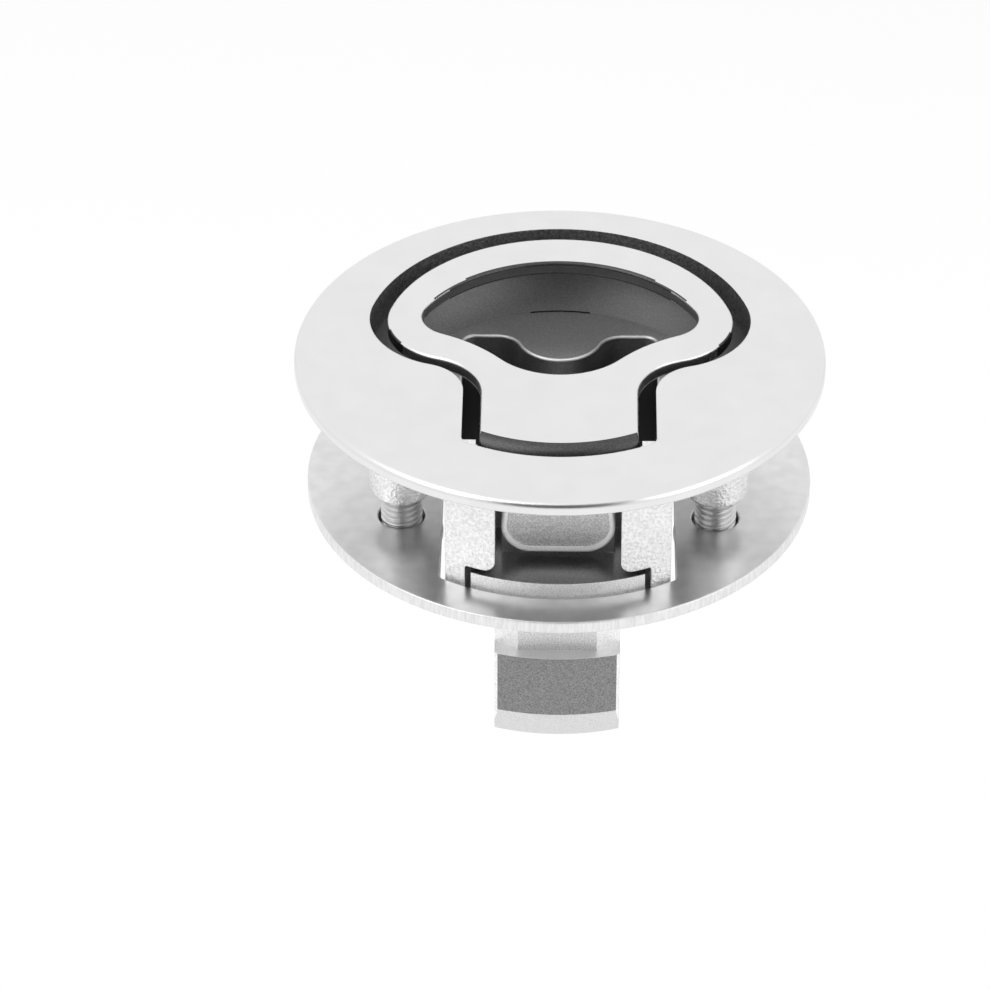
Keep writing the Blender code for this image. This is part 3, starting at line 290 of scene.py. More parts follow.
class PlateSizes(PropertyGroup):
    """Sizes of the back plate and its fasteners."""
    edge: length("Plate edge", "Radius of the plate's rounded edges", 0.0002)
    screw_radius: length("Screw radius", "Radius of a clamp screw over its thread", 0.0025)
    screw_pitch: length("Screw pitch", "Pitch of a clamp screw's thread", 0.0008)
    head_radius: length("Head radius", "Radius of a clamp screw's head", 0.0046)
    head_height: length("Head height", "Height of a clamp screw's head", 0.0029)
    cross_width: length("Cross width", "Width of the cross recess's arms", 0.0009)
    cross_length: length("Cross length", "Length of the cross recess's arms", 0.005)
    small_radius: length("Small screw radius", "Radius of a cover screw", 0.00125)
    small_pitch: length("Small screw pitch", "Pitch of a cover screw's thread", 0.00045)
    small_head: length("Small head radius", "Radius of a cover screw's head", 0.0022)
    washer_radius: length("Washer radius", "Radius of a flat washer", 0.005)


class Finishes(PropertyGroup):
    """Colours and textures of the metal, and greys of painted shade and highlight."""
    polished: colour("Polished steel", "Flange and handle faces", 0.80)
    cast: colour("Cast steel", "Blasted skin of the casting", 0.86)
    # Painted shade: a dark grey for the slot, channel, pocket and cross recesses
    wall: colour("Recess wall", "Dull skin of the slot round the handle", 0.2)
    # Painted shade: near black for the neck's walls, the ear tops, the groove and the cavity
    neck: colour("Neck wall", "Dark skin of the neck's walls", 0.03)
    # Painted shade: a dark grey for the dish's wall and the finger opening's wall
    dish: colour("Dish wall", "Satin skin of the finger dish's wall", 0.25)
    # Painted shade: a mid grey for the dish's floor and the cavity's rear walls
    floor: colour("Dish floor", "Satin skin of the finger dish's floor", 0.55)
    bolt: colour("Bolt", "Blasted skin of the bolt", 0.92)
    # Painted shade: the bolt's tops and block fronts under the handle, darker than its skin
    slide: colour("Slide", "Worn top of the bolt's slide", 0.42)
    # Painted shade: a dark grey for the tongue's front face
    tongue: colour("Tongue", "Dull face of the bolt's tongue", 0.27)
    # Painted shade: a grey for the shank's front face, darker than its chamfers
    shank: colour("Shank", "Blasted front of the bolt's shank", 0.72)
    # Painted highlight: near white for the heel's lip, the hook's ledge and the cavity's rim
    lip: colour("Lip", "Bright lip round the handle's heel and on the hook", 0.95)
    # Painted shade: a darker grey for the heel's middle and the web behind it
    heel: colour("Heel", "Blasted middle of the handle's heel", 0.6)
    # Painted shade: near black for the handle's rounded front edge
    nose: colour("Front edge", "Dull skin of the handle's rounded front edge", 0.09)
    plate: colour("Plate", "Rolled faces of the back plate", 0.76)
    plated: colour("Fasteners", "Screws and washers", 0.72)
    spring: colour("Springs", "Drawn spring wire", 0.5)
    grain: length("Casting grain", "Size of the casting's grain", 0.00035)
    cloud: length("Cloud size", "Size of the clouds in the polish", 0.004)
    rounding: length("Edge softening", "Rounding that the light shows on sharp edges", 0.00022)
    polish: share("Polish roughness", "Roughness of the polished faces", 0.27)


class StageSettings(PropertyGroup):
    """Sizes of the studio."""
    floor_drop: length("Floor drop", "Distance of the floor below the latch", 0.19)
    lens: FloatProperty(name="Lens", description="Focal length of the camera", default=182.6,
                        min=1, subtype="DISTANCE_CAMERA", unit="CAMERA")
    lamp: FloatProperty(name="Lamp power", description="Power of the key lamp", default=1.2,
                        min=0, subtype="POWER", unit="POWER")
    card_width: length("Card width", "Width of the grey card behind the camera", 0.7)


class Wire:
    """A wire that grows from a point by straight runs and by swings of its end."""

    def __init__(self, start, axis=(0, 0, 1)):
        self.work = bmesh.new()
        self.axis = axis
        self.start = self.work.verts.new(start)
        self.end = self.start

    def run(self, point):
        """Runs straight to a point."""
        if (Vector(point) - self.end.co).length > MERGE:
            self.end = bmesh.ops.extrude_vert_indiv(self.work, verts=[self.end])["verts"][0]
            self.end.co = point

    def swing(self, centre, angle):
        """Swings the end about a centre, anticlockwise for a positive angle."""
        steps = max(1, round(abs(angle) / ARC_STEP))
        swept = bmesh.ops.spin(self.work, geom=[self.end], cent=centre, axis=self.axis,
                               angle=angle, steps=steps)
        self.end = next(v for v in swept["geom_last"] if isinstance(v, bmesh.types.BMVert))

    def close(self):
        """Joins the end to the start."""
        if (self.end.co - self.start.co).length > MERGE:
            bmesh.ops.contextual_create(self.work, geom=[self.end, self.start])
        else:
            bmesh.ops.pointmerge(self.work, verts=[self.end, self.start],
                                 merge_co=self.start.co)
        return self.work


def belt(pegs):
    """Closed wire of a belt drawn tight round pegs (x, y, radius), anticlockwise.

    A peg with a negative radius stands outside the belt, which turns right round it.
    """
    leaving = []
    for here, (x1, y1, r1) in enumerate(pegs):
        x2, y2, r2 = pegs[(here + 1) % len(pegs)]
        lean = math.acos(max(-1, min(1, (r1 - r2) / math.hypot(x2 - x1, y2 - y1))))
        leaving.append(math.atan2(y2 - y1, x2 - x1) - lean)
    wire = None
    for here, (x, y, radius) in enumerate(pegs):
        came = leaving[here - 1]
        turn = (leaving[here] - came) * math.copysign(1, radius) % math.tau
        point = (x + radius * math.cos(came), y + radius * math.sin(came), 0)
        if wire is None:
            wire = Wire(point)
        wire.run(point)
        if radius and MERGE < turn < math.tau - MERGE:
            wire.swing((x, y, 0), math.copysign(turn, radius))
    return wire.close()


def circle(x, y, radius, steps):
    """Closed wire of a circle."""
    work = bmesh.new()
    bmesh.ops.create_circle(work, segments=steps, radius=radius,
                            matrix=Matrix.Translation((x, y, 0)))
    return work


def mirrored(pegs):
    """Mirror images of pegs, in the order that a belt meets them."""
    return [(-x, y, radius) for x, y, radius in reversed(pegs)]


def both_sides(pegs):
    """Pegs of the right half from front to back, and their mirror images from back to front."""
    return pegs + mirrored(pegs)


def keyhole(grow, shoulder_grow, corner, front_radius):
    """Closed wire of the recess, grown or shrunk, with its neck to the front."""
    radius = RECESS_RADIUS + grow
    shoulder = SHOULDER_RADIUS + shoulder_grow
    fillet = NECK_FILLET - shoulder_grow
    shoulder_x = -(radius - shoulder) * math.cos(SHOULDER_ANGLE)
    shoulder_y = RECESS_CENTRE_Y + (radius - shoulder) * math.sin(SHOULDER_ANGLE)
    fillet_x = NECK_HALF_WIDTH + grow + fillet
    fillet_y = shoulder_y - math.sqrt((shoulder + fillet) ** 2 - (fillet_x - shoulder_x) ** 2)
    corner_x = NECK_HALF_WIDTH + grow - corner
    corner_y = -math.sqrt((front_radius - corner) ** 2 - corner_x ** 2)
    right = [(corner_x, corner_y, corner), (fillet_x, fillet_y, -fillet),
             (shoulder_x, shoulder_y, shoulder)]
    return belt([(0, 0, front_radius)] + right + [(0, RECESS_CENTRE_Y, radius)]
                + mirrored(right))


def as_object(name, work, finish):
    """Makes an object of a finished bmesh, with its normals outward."""
    bmesh.ops.recalc_face_normals(work, faces=work.faces)
    mesh = bpy.data.meshes.new(name)
    work.to_mesh(mesh)
    work.free()
    mesh.materials.append(finish_named(finish))
    item = bpy.data.objects.new(name, mesh)
    bpy.context.scene.collection.objects.link(item)
    return item


def gather(outlines):
    """One bmesh from several closed wires."""
    work = bmesh.new()
    for outline in outlines:
        mesh = bpy.data.meshes.new("outline")
        outline.to_mesh(mesh)
        outline.free()
        work.from_mesh(mesh)
        bpy.data.meshes.remove(mesh)
    return work


def soften(work, edge, test):
    """Rounds the edges that pass a test."""
    rims = [e for e in work.edges if len(e.link_faces) == 2 and test(e)]
    bmesh.ops.bevel(work, geom=rims, offset=edge, offset_type="OFFSET", segments=EDGE_STEPS,
                    profile=0.5, affect="EDGES", clamp_overlap=False, material=-1)


def is_rim(edge):
    """True for a level edge between a flat face and a wall."""
    level = abs(edge.verts[0].co.z - edge.verts[1].co.z) < MERGE
    return level and edge.calc_face_angle() > math.radians(60)


def slab(name, outlines, low, high, finish, edge=0.0, laid=LAID_FLAT):
    """Flat solid between two levels from an outline and its holes, with rounded rims."""
    work = gather(outlines)
    bmesh.ops.translate(work, verts=work.verts, vec=(0, 0, low))
    bmesh.ops.triangle_fill(work, use_beauty=True, use_dissolve=True, edges=work.edges)
    grown = bmesh.ops.extrude_face_region(work, geom=work.faces[:])["geom"]
    raised = [v for v in grown if isinstance(v, bmesh.types.BMVert)]
    bmesh.ops.translate(work, verts=raised, vec=(0, 0, high - low))
    bmesh.ops.recalc_face_normals(work, faces=work.faces)
    if edge:
        soften(work, edge, is_rim)
    bmesh.ops.transform(work, matrix=laid, verts=work.verts)
    return as_object(name, work, finish)


def stack(name, rings, finish):
    """Solid through like outlines, each a closed wire with its level, from the lowest up."""
    for outline, level in rings:
        bmesh.ops.translate(outline, verts=outline.verts, vec=(0, 0, level))
    work = gather([outline for outline, level in rings])
    bmesh.ops.bridge_loops(work, edges=work.edges[:])
    bmesh.ops.holes_fill(work, edges=[e for e in work.edges if e.is_boundary])
    return as_object(name, work, finish)


def box(name, low, high, finish):
    """Block between two corners."""
    work = bmesh.new()
    bmesh.ops.create_cube(work, size=1)
    bmesh.ops.scale(work, vec=Vector(high) - Vector(low), verts=work.verts)
    bmesh.ops.translate(work, vec=(Vector(low) + Vector(high)) / 2, verts=work.verts)
    return as_object(name, work, finish)


def rods(name, runs, finish, steps=SMALL_STEPS):
    """Straight cylinders in one object, each from a start and an end point and a radius."""
    work = bmesh.new()
    for start, end, radius in runs:
        start, end = Vector(start), Vector(end)
        turn = (end - start).to_track_quat("Z", "Y").to_matrix().to_4x4()
        bmesh.ops.create_cone(work, cap_ends=True, segments=steps, radius1=radius,
                              radius2=radius, depth=(end - start).length,
                              matrix=Matrix.Translation((start + end) / 2) @ turn)
    return as_object(name, work, finish)


def turned(name, wire, finish, steps=ROUND_STEPS, place=(0, 0, 0)):
    """Solid of revolution about a vertical axis from a wire in the x-z plane."""
    work = wire.work
    bmesh.ops.spin(work, geom=work.verts[:] + work.edges[:], cent=(0, 0, 0), axis=(0, 0, 1),
                   angle=math.tau, steps=steps, use_merge=True)
    bmesh.ops.remove_doubles(work, verts=work.verts, dist=MERGE / 2)
    bmesh.ops.translate(work, vec=place, verts=work.verts)
    return as_object(name, work, finish)


def profile(x, z):
    """Starts the profile of a turned solid."""
    return Wire((x, 0, z), axis=(0, -1, 0))


def combine(target, tool, operation):
    """Booleans a tool into a target and removes it, keeping the finish of its faces."""
    modifier = target.modifiers.new("shape", "BOOLEAN")
    modifier.operation = operation
    modifier.solver = "EXACT"
    modifier.material_mode = "TRANSFER"
    modifier.object = tool
    bpy.context.view_layer.update()
    depsgraph = bpy.context.evaluated_depsgraph_get()
    mesh = bpy.data.meshes.new_from_object(target.evaluated_get(depsgraph),
                                           depsgraph=depsgraph)
    work = bmesh.new()
    work.from_mesh(mesh)
    bmesh.ops.remove_doubles(work, verts=work.verts, dist=MERGE / 4)
    bmesh.ops.dissolve_degenerate(work, dist=MERGE / 4, edges=work.edges)
    work.to_mesh(mesh)
    work.free()
    target.modifiers.remove(modifier)
    target.data = mesh
    bpy.data.objects.remove(tool, do_unlink=True)


def cut(target, tool):
    """Takes a tool away from a target."""
    combine(target, tool, "DIFFERENCE")


def join(target, tool):
    """Adds a tool to a target."""
    combine(target, tool, "UNION")


def trim(target, tool):
    """Keeps what a target shares with a tool."""
    combine(target, tool, "INTERSECT")


def paint(item, finish, test):
    """Gives a finish to the faces that pass a test on their centre and normal."""
    names = [material.name for material in item.data.materials]
    if finish not in names:
        item.data.materials.append(finish_named(finish))
        names.append(finish)
    for face in item.data.polygons:
        if test(face.center, face.normal):
            face.material_index = names.index(finish)


def hand_over(item, node, body):
    """Evens a piece's shading, sets it on its body and puts it in its CAD node's place."""
    item.data.shade_smooth()
    item.data.set_sharp_from_angle(angle=SHARP)
    even = item.modifiers.new("even_normals", "WEIGHTED_NORMAL")
    even.keep_sharp = True
    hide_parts(node)
    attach(item, body)


def grain_nodes(tree, size, stretch=1.0):
    """Noise over the piece's own coordinates, with its grains drawn out in height."""
    place = tree.nodes.new("ShaderNodeTexCoord")
    drawn = tree.nodes.new("ShaderNodeMapping")
    drawn.inputs["Scale"].default_value = (1, 1, 1 / stretch)
    noise = tree.nodes.new("ShaderNodeTexNoise")
    noise.inputs["Scale"].default_value = 1 / size
    noise.inputs["Detail"].default_value = 1
    tree.links.new(place.outputs["Object"], drawn.inputs["Vector"])
    tree.links.new(drawn.outputs["Vector"], noise.inputs["Vector"])
    return noise


def metal(name, shade, roughness, grain=0.001, relief=0.0, mottle=0.0, stretch=1.0):
    """Metal with softened edges and a grain in relief and in colour."""
    finishes = bpy.context.scene.latch_finishes
    material = bpy.data.materials.new(name)
    material.use_nodes = True
    tree = material.node_tree
    shader = tree.nodes["Principled BSDF"]
    shader.inputs["Base Color"].default_value = (*shade, 1)
    shader.inputs["Metallic"].default_value = 1
    shader.inputs["Roughness"].default_value = roughness
    edge = tree.nodes.new("ShaderNodeBevel")
    edge.samples = 4
    edge.inputs["Radius"].default_value = finishes.rounding
    normal = edge.outputs["Normal"]
    if relief:
        bump = tree.nodes.new("ShaderNodeBump")
        bump.inputs["Strength"].default_value = 1
        bump.inputs["Distance"].default_value = relief
        noise = grain_nodes(tree, grain, stretch)
        tree.links.new(noise.outputs["Fac"], bump.inputs["Height"])
        tree.links.new(normal, bump.inputs["Normal"])
        normal = bump.outputs["Normal"]
    tree.links.new(normal, shader.inputs["Normal"])
    if mottle:
        dark, light = (Vector(shade) * (1 - mottle), Vector(shade) * (1 + mottle))
        blend = tree.nodes.new("ShaderNodeMix")
        blend.data_type = "RGBA"
        blend.inputs[6].default_value = (*dark, 1)
        blend.inputs[7].default_value = (*light, 1)
        noise = grain_nodes(tree, grain, stretch)
        even = tree.nodes.new("ShaderNodeMapRange")
        even.interpolation_type = "SMOOTHSTEP"
        even.inputs["From Min"].default_value = 0.25
        even.inputs["From Max"].default_value = 0.75
        tree.links.new(noise.outputs["Fac"], even.inputs["Value"])
        tree.links.new(even.outputs["Result"], blend.inputs[0])
        tree.links.new(blend.outputs[2], shader.inputs["Base Color"])
    return material


def finish_named(name):
    """The material of a finish, made when it is first used."""
    if name in bpy.data.materials:
        return bpy.data.materials[name]
    look = bpy.context.scene.latch_finishes
    grain = look.grain
    recipes = {
        "polished_face": dict(shade=look.polished, roughness=look.polish, grain=look.cloud,
                              mottle=0.015),
        # Near-black painted shade on the front edge, over a real grain
        "front_edge_painted_shade": dict(shade=look.nose, roughness=0.4, grain=grain / 2, mottle=0.25),
        "cast_skin": dict(shade=look.cast, roughness=0.42, grain=grain, relief=CAST_RELIEF,
                          mottle=0.12),
        # Painted shade in the recesses, over the real cast grain
        "recess_painted_shade": dict(shade=look.wall, roughness=0.5, grain=grain, relief=CAST_RELIEF,
                            mottle=0.3),
        # Near-black painted shade
        "painted_black_shade": dict(shade=look.neck, roughness=0.5),
        # Painted shade on the dish's wall
        "dish_wall_painted_shade": dict(shade=look.dish, roughness=0.5, grain=grain / 2, mottle=0.15),
        # Painted half shade on the dish's floor
        "dish_floor": dict(shade=look.floor, roughness=0.5, grain=grain / 2, mottle=0.12),
        "bolt_skin": dict(shade=look.bolt, roughness=0.5, grain=grain / 2, relief=FINE_RELIEF,
                          mottle=0.13),
        # Painted shade on the bolt's slide top and block fronts
        "slide_painted_shade": dict(shade=look.slide, roughness=0.32, grain=grain / 2, mottle=0.2),
        # Painted shade on the tongue's front face, over the real grain
        "tongue_face_painted_shade": dict(shade=look.tongue, roughness=0.5, grain=grain / 2,
                            relief=FINE_RELIEF, mottle=0.28),
        # Painted shade: the tongue's rounded end a little darker than the bolt's skin, in the
        # fasteners' grey
        "tongue_nose": dict(shade=look.plated, roughness=0.5, grain=grain / 2, mottle=0.08),
        # Painted shade on the heel's middle and its web
        "heel_painted_shade": dict(shade=look.heel, roughness=0.4, grain=grain / 2, relief=FAINT_RELIEF,
                          mottle=0.25),
        # Painted shade on the shank's front face
        "shank_face_painted_shade": dict(shade=look.shank, roughness=0.5, grain=grain / 2, mottle=0.2),
        # Painted highlight on the lip, the ledge and the rim
        "painted_highlight": dict(shade=look.lip, roughness=0.55, grain=grain / 2, mottle=0.05),
        "plate_face": dict(shade=look.plate, roughness=0.3, grain=look.cloud / 2,
                           mottle=0.05),
        "plate_rim": dict(shade=look.polished, roughness=0.4, grain=grain, relief=FAINT_RELIEF,
                          mottle=0.07, stretch=6),
        "plated_steel": dict(shade=look.plated, roughness=0.36),
        "spring_wire": dict(shade=look.spring, roughness=0.25),
    }
    return metal(name, **recipes[name])


def dish_profile(grow, floor_z):
    """Ends of the dish's curved wall and the centre and angle of its bow."""
    rim = Vector((RECESS_RADIUS + SEAT_GAP + grow, 0, RIM_Z))
    foot = Vector((DISH_FLOOR_RADIUS + grow, 0, floor_z - grow))
    chord = foot - rim
    radius = (chord.length ** 2 / 4 + DISH_BULGE ** 2) / (2 * DISH_BULGE)
    outward = Vector((-chord.z, 0, chord.x)).normalized()
    centre = (rim + foot) / 2 - outward * (radius - DISH_BULGE)
    return rim, foot, centre, -2 * math.asin(chord.length / 2 / radius)


class LATCH_OT_housing(Operator):
    """Adds the cast housing with its flange, dish, posts and bosses."""
    bl_idname = "latch.add_housing"
    bl_label = "Housing"

    def execute(self, context):
        sizes = context.scene.latch_housing
        housing = self.flange(sizes)
        join(housing, self.bowl(sizes))
        join(housing, self.block())
        for side, sign in SIDES.items():
            join(housing, self.boss(side, sign, sizes))
        cut(housing, self.recess(sizes))
        cut(housing, self.groove(sizes))
        cut(housing, self.cavity(sizes))
        self.cut_bolt_guide(housing)
        join(housing, self.spigots(context.scene.latch_bolt))
        cut(housing, self.holes(context))
        floor_z = TOP - sizes.dish_floor
        # The dish's floor takes painted half shade
        paint(housing, "dish_floor", lambda centre, normal: normal.z > 0.95
              and abs(centre.z - floor_z) < MERGE)
        # The neck's walls and the ear tops beside them take near-black painted shade
        paint(housing, "painted_black_shade", lambda centre, normal: centre.y < 0.5 * PIN_Y
              and CAVITY_FLOOR < centre.z < TOP - 2 * SEAT_GAP
              and Vector(centre.xy).length < NECK_FRONT_RADIUS + MERGE
              and EAR_HALF_GAP - MERGE < abs(centre.x) < NECK_HALF_WIDTH + MERGE)
        paint(housing, "cast_skin", lambda centre, normal: centre.z < MERGE
              and normal.z < -0.9 and Vector(centre.xy).length > BLOCK_FRONT_RADIUS)
        hand_over(housing, "housing", "frame")
        return {"FINISHED"}

    def flange(self, sizes):
        """Flange disc with a rounded outer edge."""
        edge = sizes.flange_edge
        wire = profile(0, TOP)
        wire.run((FLANGE_RADIUS - edge, 0, TOP))
        wire.swing((FLANGE_RADIUS - edge, 0, TOP - edge), -math.pi / 2)
        wire.run((FLANGE_RADIUS, 0, 0))
        wire.run((0, 0, 0))
        return turned("housing_casting", wire, "polished_face")

    def bowl(self, sizes):
        """Outside of the finger dish below the flange."""
        rim, foot, centre, angle = dish_profile(CASTING_WALL, TOP - sizes.dish_floor)
        wire = profile(0, TOP / 2)
        wire.run((rim.x, 0, TOP / 2))
        wire.run(rim)
        wire.swing(centre, angle)
        wire.run((0, 0, foot.z))
        bowl = turned("bowl", wire, "cast_skin", place=(0, RECESS_CENTRE_Y, 0))
        outline = keyhole(CASTING_WALL, CASTING_WALL, NECK_CORNER,
                          NECK_FRONT_RADIUS + CASTING_WALL)
        trim(bowl, slab("bowl_plan", [outline], foot.z - CUT_PAST, TOP, "cast_skin"))
        return bowl

    def block(self):
        """Block that carries the posts and guides the bolt."""
        front_y = -math.sqrt(BLOCK_FRONT_RADIUS ** 2 - BLOCK_HALF_WIDTH ** 2)
        corner = BLOCK_REAR_CORNER
        pegs = [(BLOCK_HALF_WIDTH, front_y, 0),
                (BLOCK_HALF_WIDTH - corner, BLOCK_REAR_Y - corner, corner)]
        outline = belt([(0, 0, BLOCK_FRONT_RADIUS)] + both_sides(pegs))
        return slab("block", [outline], BLOCK_BOTTOM, TOP / 2, "cast_skin")

    def boss(self, side, sign, sizes):
        """Tapered boss for a clamp screw, with a rounded tip."""
        rounding = 2 * (sizes.boss_radius - sizes.boss_tip - BOSS_TAPER)
        flat = sizes.boss_tip - BOSS_TAPER
        wire = profile(0, TOP / 2)
        wire.run((sizes.boss_radius, 0, TOP / 2))
        wire.run((flat + rounding, 0, BOSS_TIP_Z + rounding))
        wire.swing((flat, 0, BOSS_TIP_Z + rounding), -math.pi / 2)
        wire.run((0, 0, BOSS_TIP_Z))
        return turned(f"boss_{side}", wire, "cast_skin", SMALL_STEPS,
                      (BOSS_X * sign, BOSS_Y, 0))

    def recess(self, sizes):
        """Room for the handle and the finger dish, with the ears left standing."""
        floor_z = TOP - sizes.dish_floor
        rim, foot, centre, angle = dish_profile(0, floor_z)
        wire = profile(0, TOP + CUT_PAST)
        wire.run((FLANGE_RADIUS, 0, TOP + CUT_PAST))
        wire.run((FLANGE_RADIUS, 0, rim.z))
        wire.run(rim)
        wire.swing(centre, angle)
        wire.run((0, 0, foot.z))
        # The dish's wall takes painted shade
        recess = turned("recess", wire, "dish_wall_painted_shade", place=(0, RECESS_CENTRE_Y, 0))
        outline = keyhole(0, 0, NECK_CORNER, NECK_FRONT_RADIUS)
        # The slot's upright walls take the recesses' painted shade
        trim(recess, slab("recess_plan", [outline], floor_z - CUT_PAST, TOP + 2 * CUT_PAST,
                          "recess_painted_shade"))
        for side, sign in SIDES.items():
            inner = (EAR_HALF_GAP - EAR_GAP / 2) * sign
            outer = (NECK_HALF_WIDTH + CASTING_WALL) * sign
            ear = belt([(EAR_REAR_Y, BLOCK_BOTTOM, 0), (EAR_REAR_Y, EAR_REAR_TOP, 0),
                        (EAR_RIDGE_Y, sizes.ear_top, 0), (EAR_RIDGE_Y, TOP - SEAT_GAP, 0),
                        (-BLOCK_FRONT_RADIUS, TOP - SEAT_GAP, 0),
                        (-BLOCK_FRONT_RADIUS, BLOCK_BOTTOM, 0)])
            cut(recess, slab(f"ear_{side}", [ear], min(inner, outer), max(inner, outer),
                             "cast_skin", laid=SEEN_FROM_SIDE))
        return recess

    def groove(self, sizes):
        """Shallow groove at the foot of the dish's rear wall, for a painted shadow line."""
        low = TOP - sizes.dish_floor - GROOVE_DEPTH
        wire = profile(DISH_FLOOR_RADIUS - GROOVE_DEPTH, low)
        for r, z in ((DISH_FLOOR_RADIUS + GROOVE_DEPTH, low),
                     (DISH_FLOOR_RADIUS + GROOVE_DEPTH, low + 3 * GROOVE_DEPTH),
                     (DISH_FLOOR_RADIUS - GROOVE_DEPTH, low + 3 * GROOVE_DEPTH)):
            wire.run((r, 0, z))
        wire.close()
        # The groove takes near-black painted shade
        groove = turned("groove", wire, "painted_black_shade", place=(0, RECESS_CENTRE_Y, 0))
        trim(groove, box("groove_middle", (-GROOVE_HALF_WIDTH, 0, low - CUT_PAST),
                         (GROOVE_HALF_WIDTH, FLANGE_RADIUS, TOP), "painted_black_shade"))
        return groove

    def cavity(self, sizes):
        """Room behind the posts, flared at the dish's floor to a rounded painted-highlight rim.
        """
        edge, floor_z = sizes.cavity_edge, TOP - sizes.dish_floor
        widest = CAVITY_FLARE[-1][0] * edge
        flare = [(self.cavity_wire(out * edge), floor_z + up * edge)
                 for out, up in CAVITY_FLARE]
        # The cavity takes near-black painted shade
        cavity = stack("cavity", [(self.cavity_wire(0), CAVITY_FLOOR)] + flare
                       + [(self.cavity_wire(widest), floor_z + CUT_PAST)], "painted_black_shade")
        # Its rear walls take a lighter painted half shade, for the light on the lobe's flanks
        paint(cavity, "dish_floor", lambda centre, normal: abs(normal.z) < 0.1
              and centre.y > CAVITY_REAR_Y / 2)
        # Its flared rim takes a painted highlight
        paint(cavity, "painted_highlight", lambda centre, normal: 0.1 < abs(normal.z) < 0.95
              and centre.y > 0)
        return cavity

    def cavity_wire(self, grow):
        """Plan of the room behind the posts, with a lobe of the dish's floor at its rear."""
        corner = CAVITY_CORNER
        side = CAVITY_HALF_WIDTH - corner
        fillet_x = math.sqrt((LOBE_RADIUS + LOBE_FILLET) ** 2 - LOBE_FILLET ** 2)
        right = [(side, POST_REAR_Y + corner, corner + grow),
                 (side, CAVITY_REAR_Y - corner, corner + grow),
                 (fillet_x, CAVITY_REAR_Y - LOBE_FILLET, LOBE_FILLET + grow)]
        return belt(right + [(0, CAVITY_REAR_Y, grow - LOBE_RADIUS)] + mirrored(right))

    def cut_bolt_guide(self, housing):
        """Opening between the posts, channel, knuckle pocket and rear hollow."""
        low = BLOCK_BOTTOM - CUT_PAST
        notch = SEAT_GAP
        gate = belt(both_sides([
            (NOTCH_HALF_WIDTH, low, 0),
            (NOTCH_HALF_WIDTH - notch, NOTCH_CEILING - notch, notch),
            (POST_INNER + POST_CORNER, NOTCH_CEILING + POST_CORNER, -POST_CORNER),
            (POST_INNER, 0, 0)]))
        stop_y = WING_REAR_Y + BOLT_TRAVEL + SEAT_GAP
        cut(housing, slab("gate", [gate], -stop_y, BLOCK_FRONT_RADIUS + CUT_PAST,
                          "cast_skin", laid=SEEN_FROM_FRONT))
        half = SLIDE_HALF_WIDTH + SEAT_GAP
        # The channel's walls take the recesses' painted shade
        cut(housing, box("channel", (-half, POST_REAR_Y + CHANNEL_STEP, low),
                         (half, SPRING_WALL_Y, CAVITY_FLOOR + CUT_PAST), "recess_painted_shade"))
        cut(housing, self.pocket())
        cut(housing, box("hollow", (-half, SPRING_WALL_Y + SPRING_WALL_THICKNESS, low),
                         (half, BLOCK_REAR_Y - SPRING_WALL_THICKNESS,
                          CAVITY_FLOOR - HOLLOW_ROOF), "cast_skin"))

    def pocket(self):
        """Room for the handle's knuckle, deeper towards the front under the flange."""
        neck = NECK_FRONT_RADIUS - CUT_PAST / 2
        high = TOP + 2 * CUT_PAST
        wire = profile(0, high)
        for point in ((neck, high), (neck, 0), (POCKET_RADIUS, 0),
                      (POCKET_RADIUS, POCKET_FLOOR), (0, POCKET_FLOOR)):
            wire.run((point[0], 0, point[1]))
        # The pocket's walls take the recesses' painted shade
        pocket = turned("pocket", wire, "recess_painted_shade")
        trim(pocket, box("pocket_sides", (-EAR_HALF_GAP, -BLOCK_FRONT_RADIUS,
                                          POCKET_FLOOR - CUT_PAST),
                         (EAR_HALF_GAP, POST_REAR_Y + POCKET_OVERLAP, high + CUT_PAST),
                         "recess_painted_shade"))
        return pocket

    def spigots(self, sizes):
        """Spigots that hold the springs' rear ends."""
        radius = sizes.spring_radius - sizes.wire_radius - SEAT_GAP
        root = SPRING_WALL_Y + SPRING_WALL_THICKNESS / 2
        return rods("spigots", [
            ((SPRING_X * sign, SPRING_WALL_Y - SPIGOT_LENGTH, SPRING_Z),
             (SPRING_X * sign, root, SPRING_Z), radius) for sign in SIDES.values()],
            "cast_skin", TINY_STEPS)

    def holes(self, context):
        """Holes for the hinge pin, the clamp screws and the cover's screws."""
        sizes = context.scene.latch_plate
        reach = BLOCK_HALF_WIDTH + CUT_PAST
        pin = context.scene.latch_handle.pin + SEAT_GAP
        runs = [((-reach, PIN_Y, PIN_Z), (reach, PIN_Y, PIN_Z), pin)]
        for sign in SIDES.values():
            boss = (BOSS_X * sign, BOSS_Y)
            runs.append(((*boss, BOSS_TIP_Z - CUT_PAST), (*boss, SCREW_HOLE_TOP),
                         sizes.screw_radius + SEAT_GAP))
            for y in COVER_SCREW_ROWS.values():
                place = (COVER_SCREW_X * sign, y)
                runs.append(((*place, BLOCK_BOTTOM - CUT_PAST),
                             (*place, COVER_BOTTOM + COVER_SCREW_HOLE_DEPTH),
                             sizes.small_radius + SEAT_GAP))
        return rods("holes", runs, "cast_skin", TINY_STEPS)


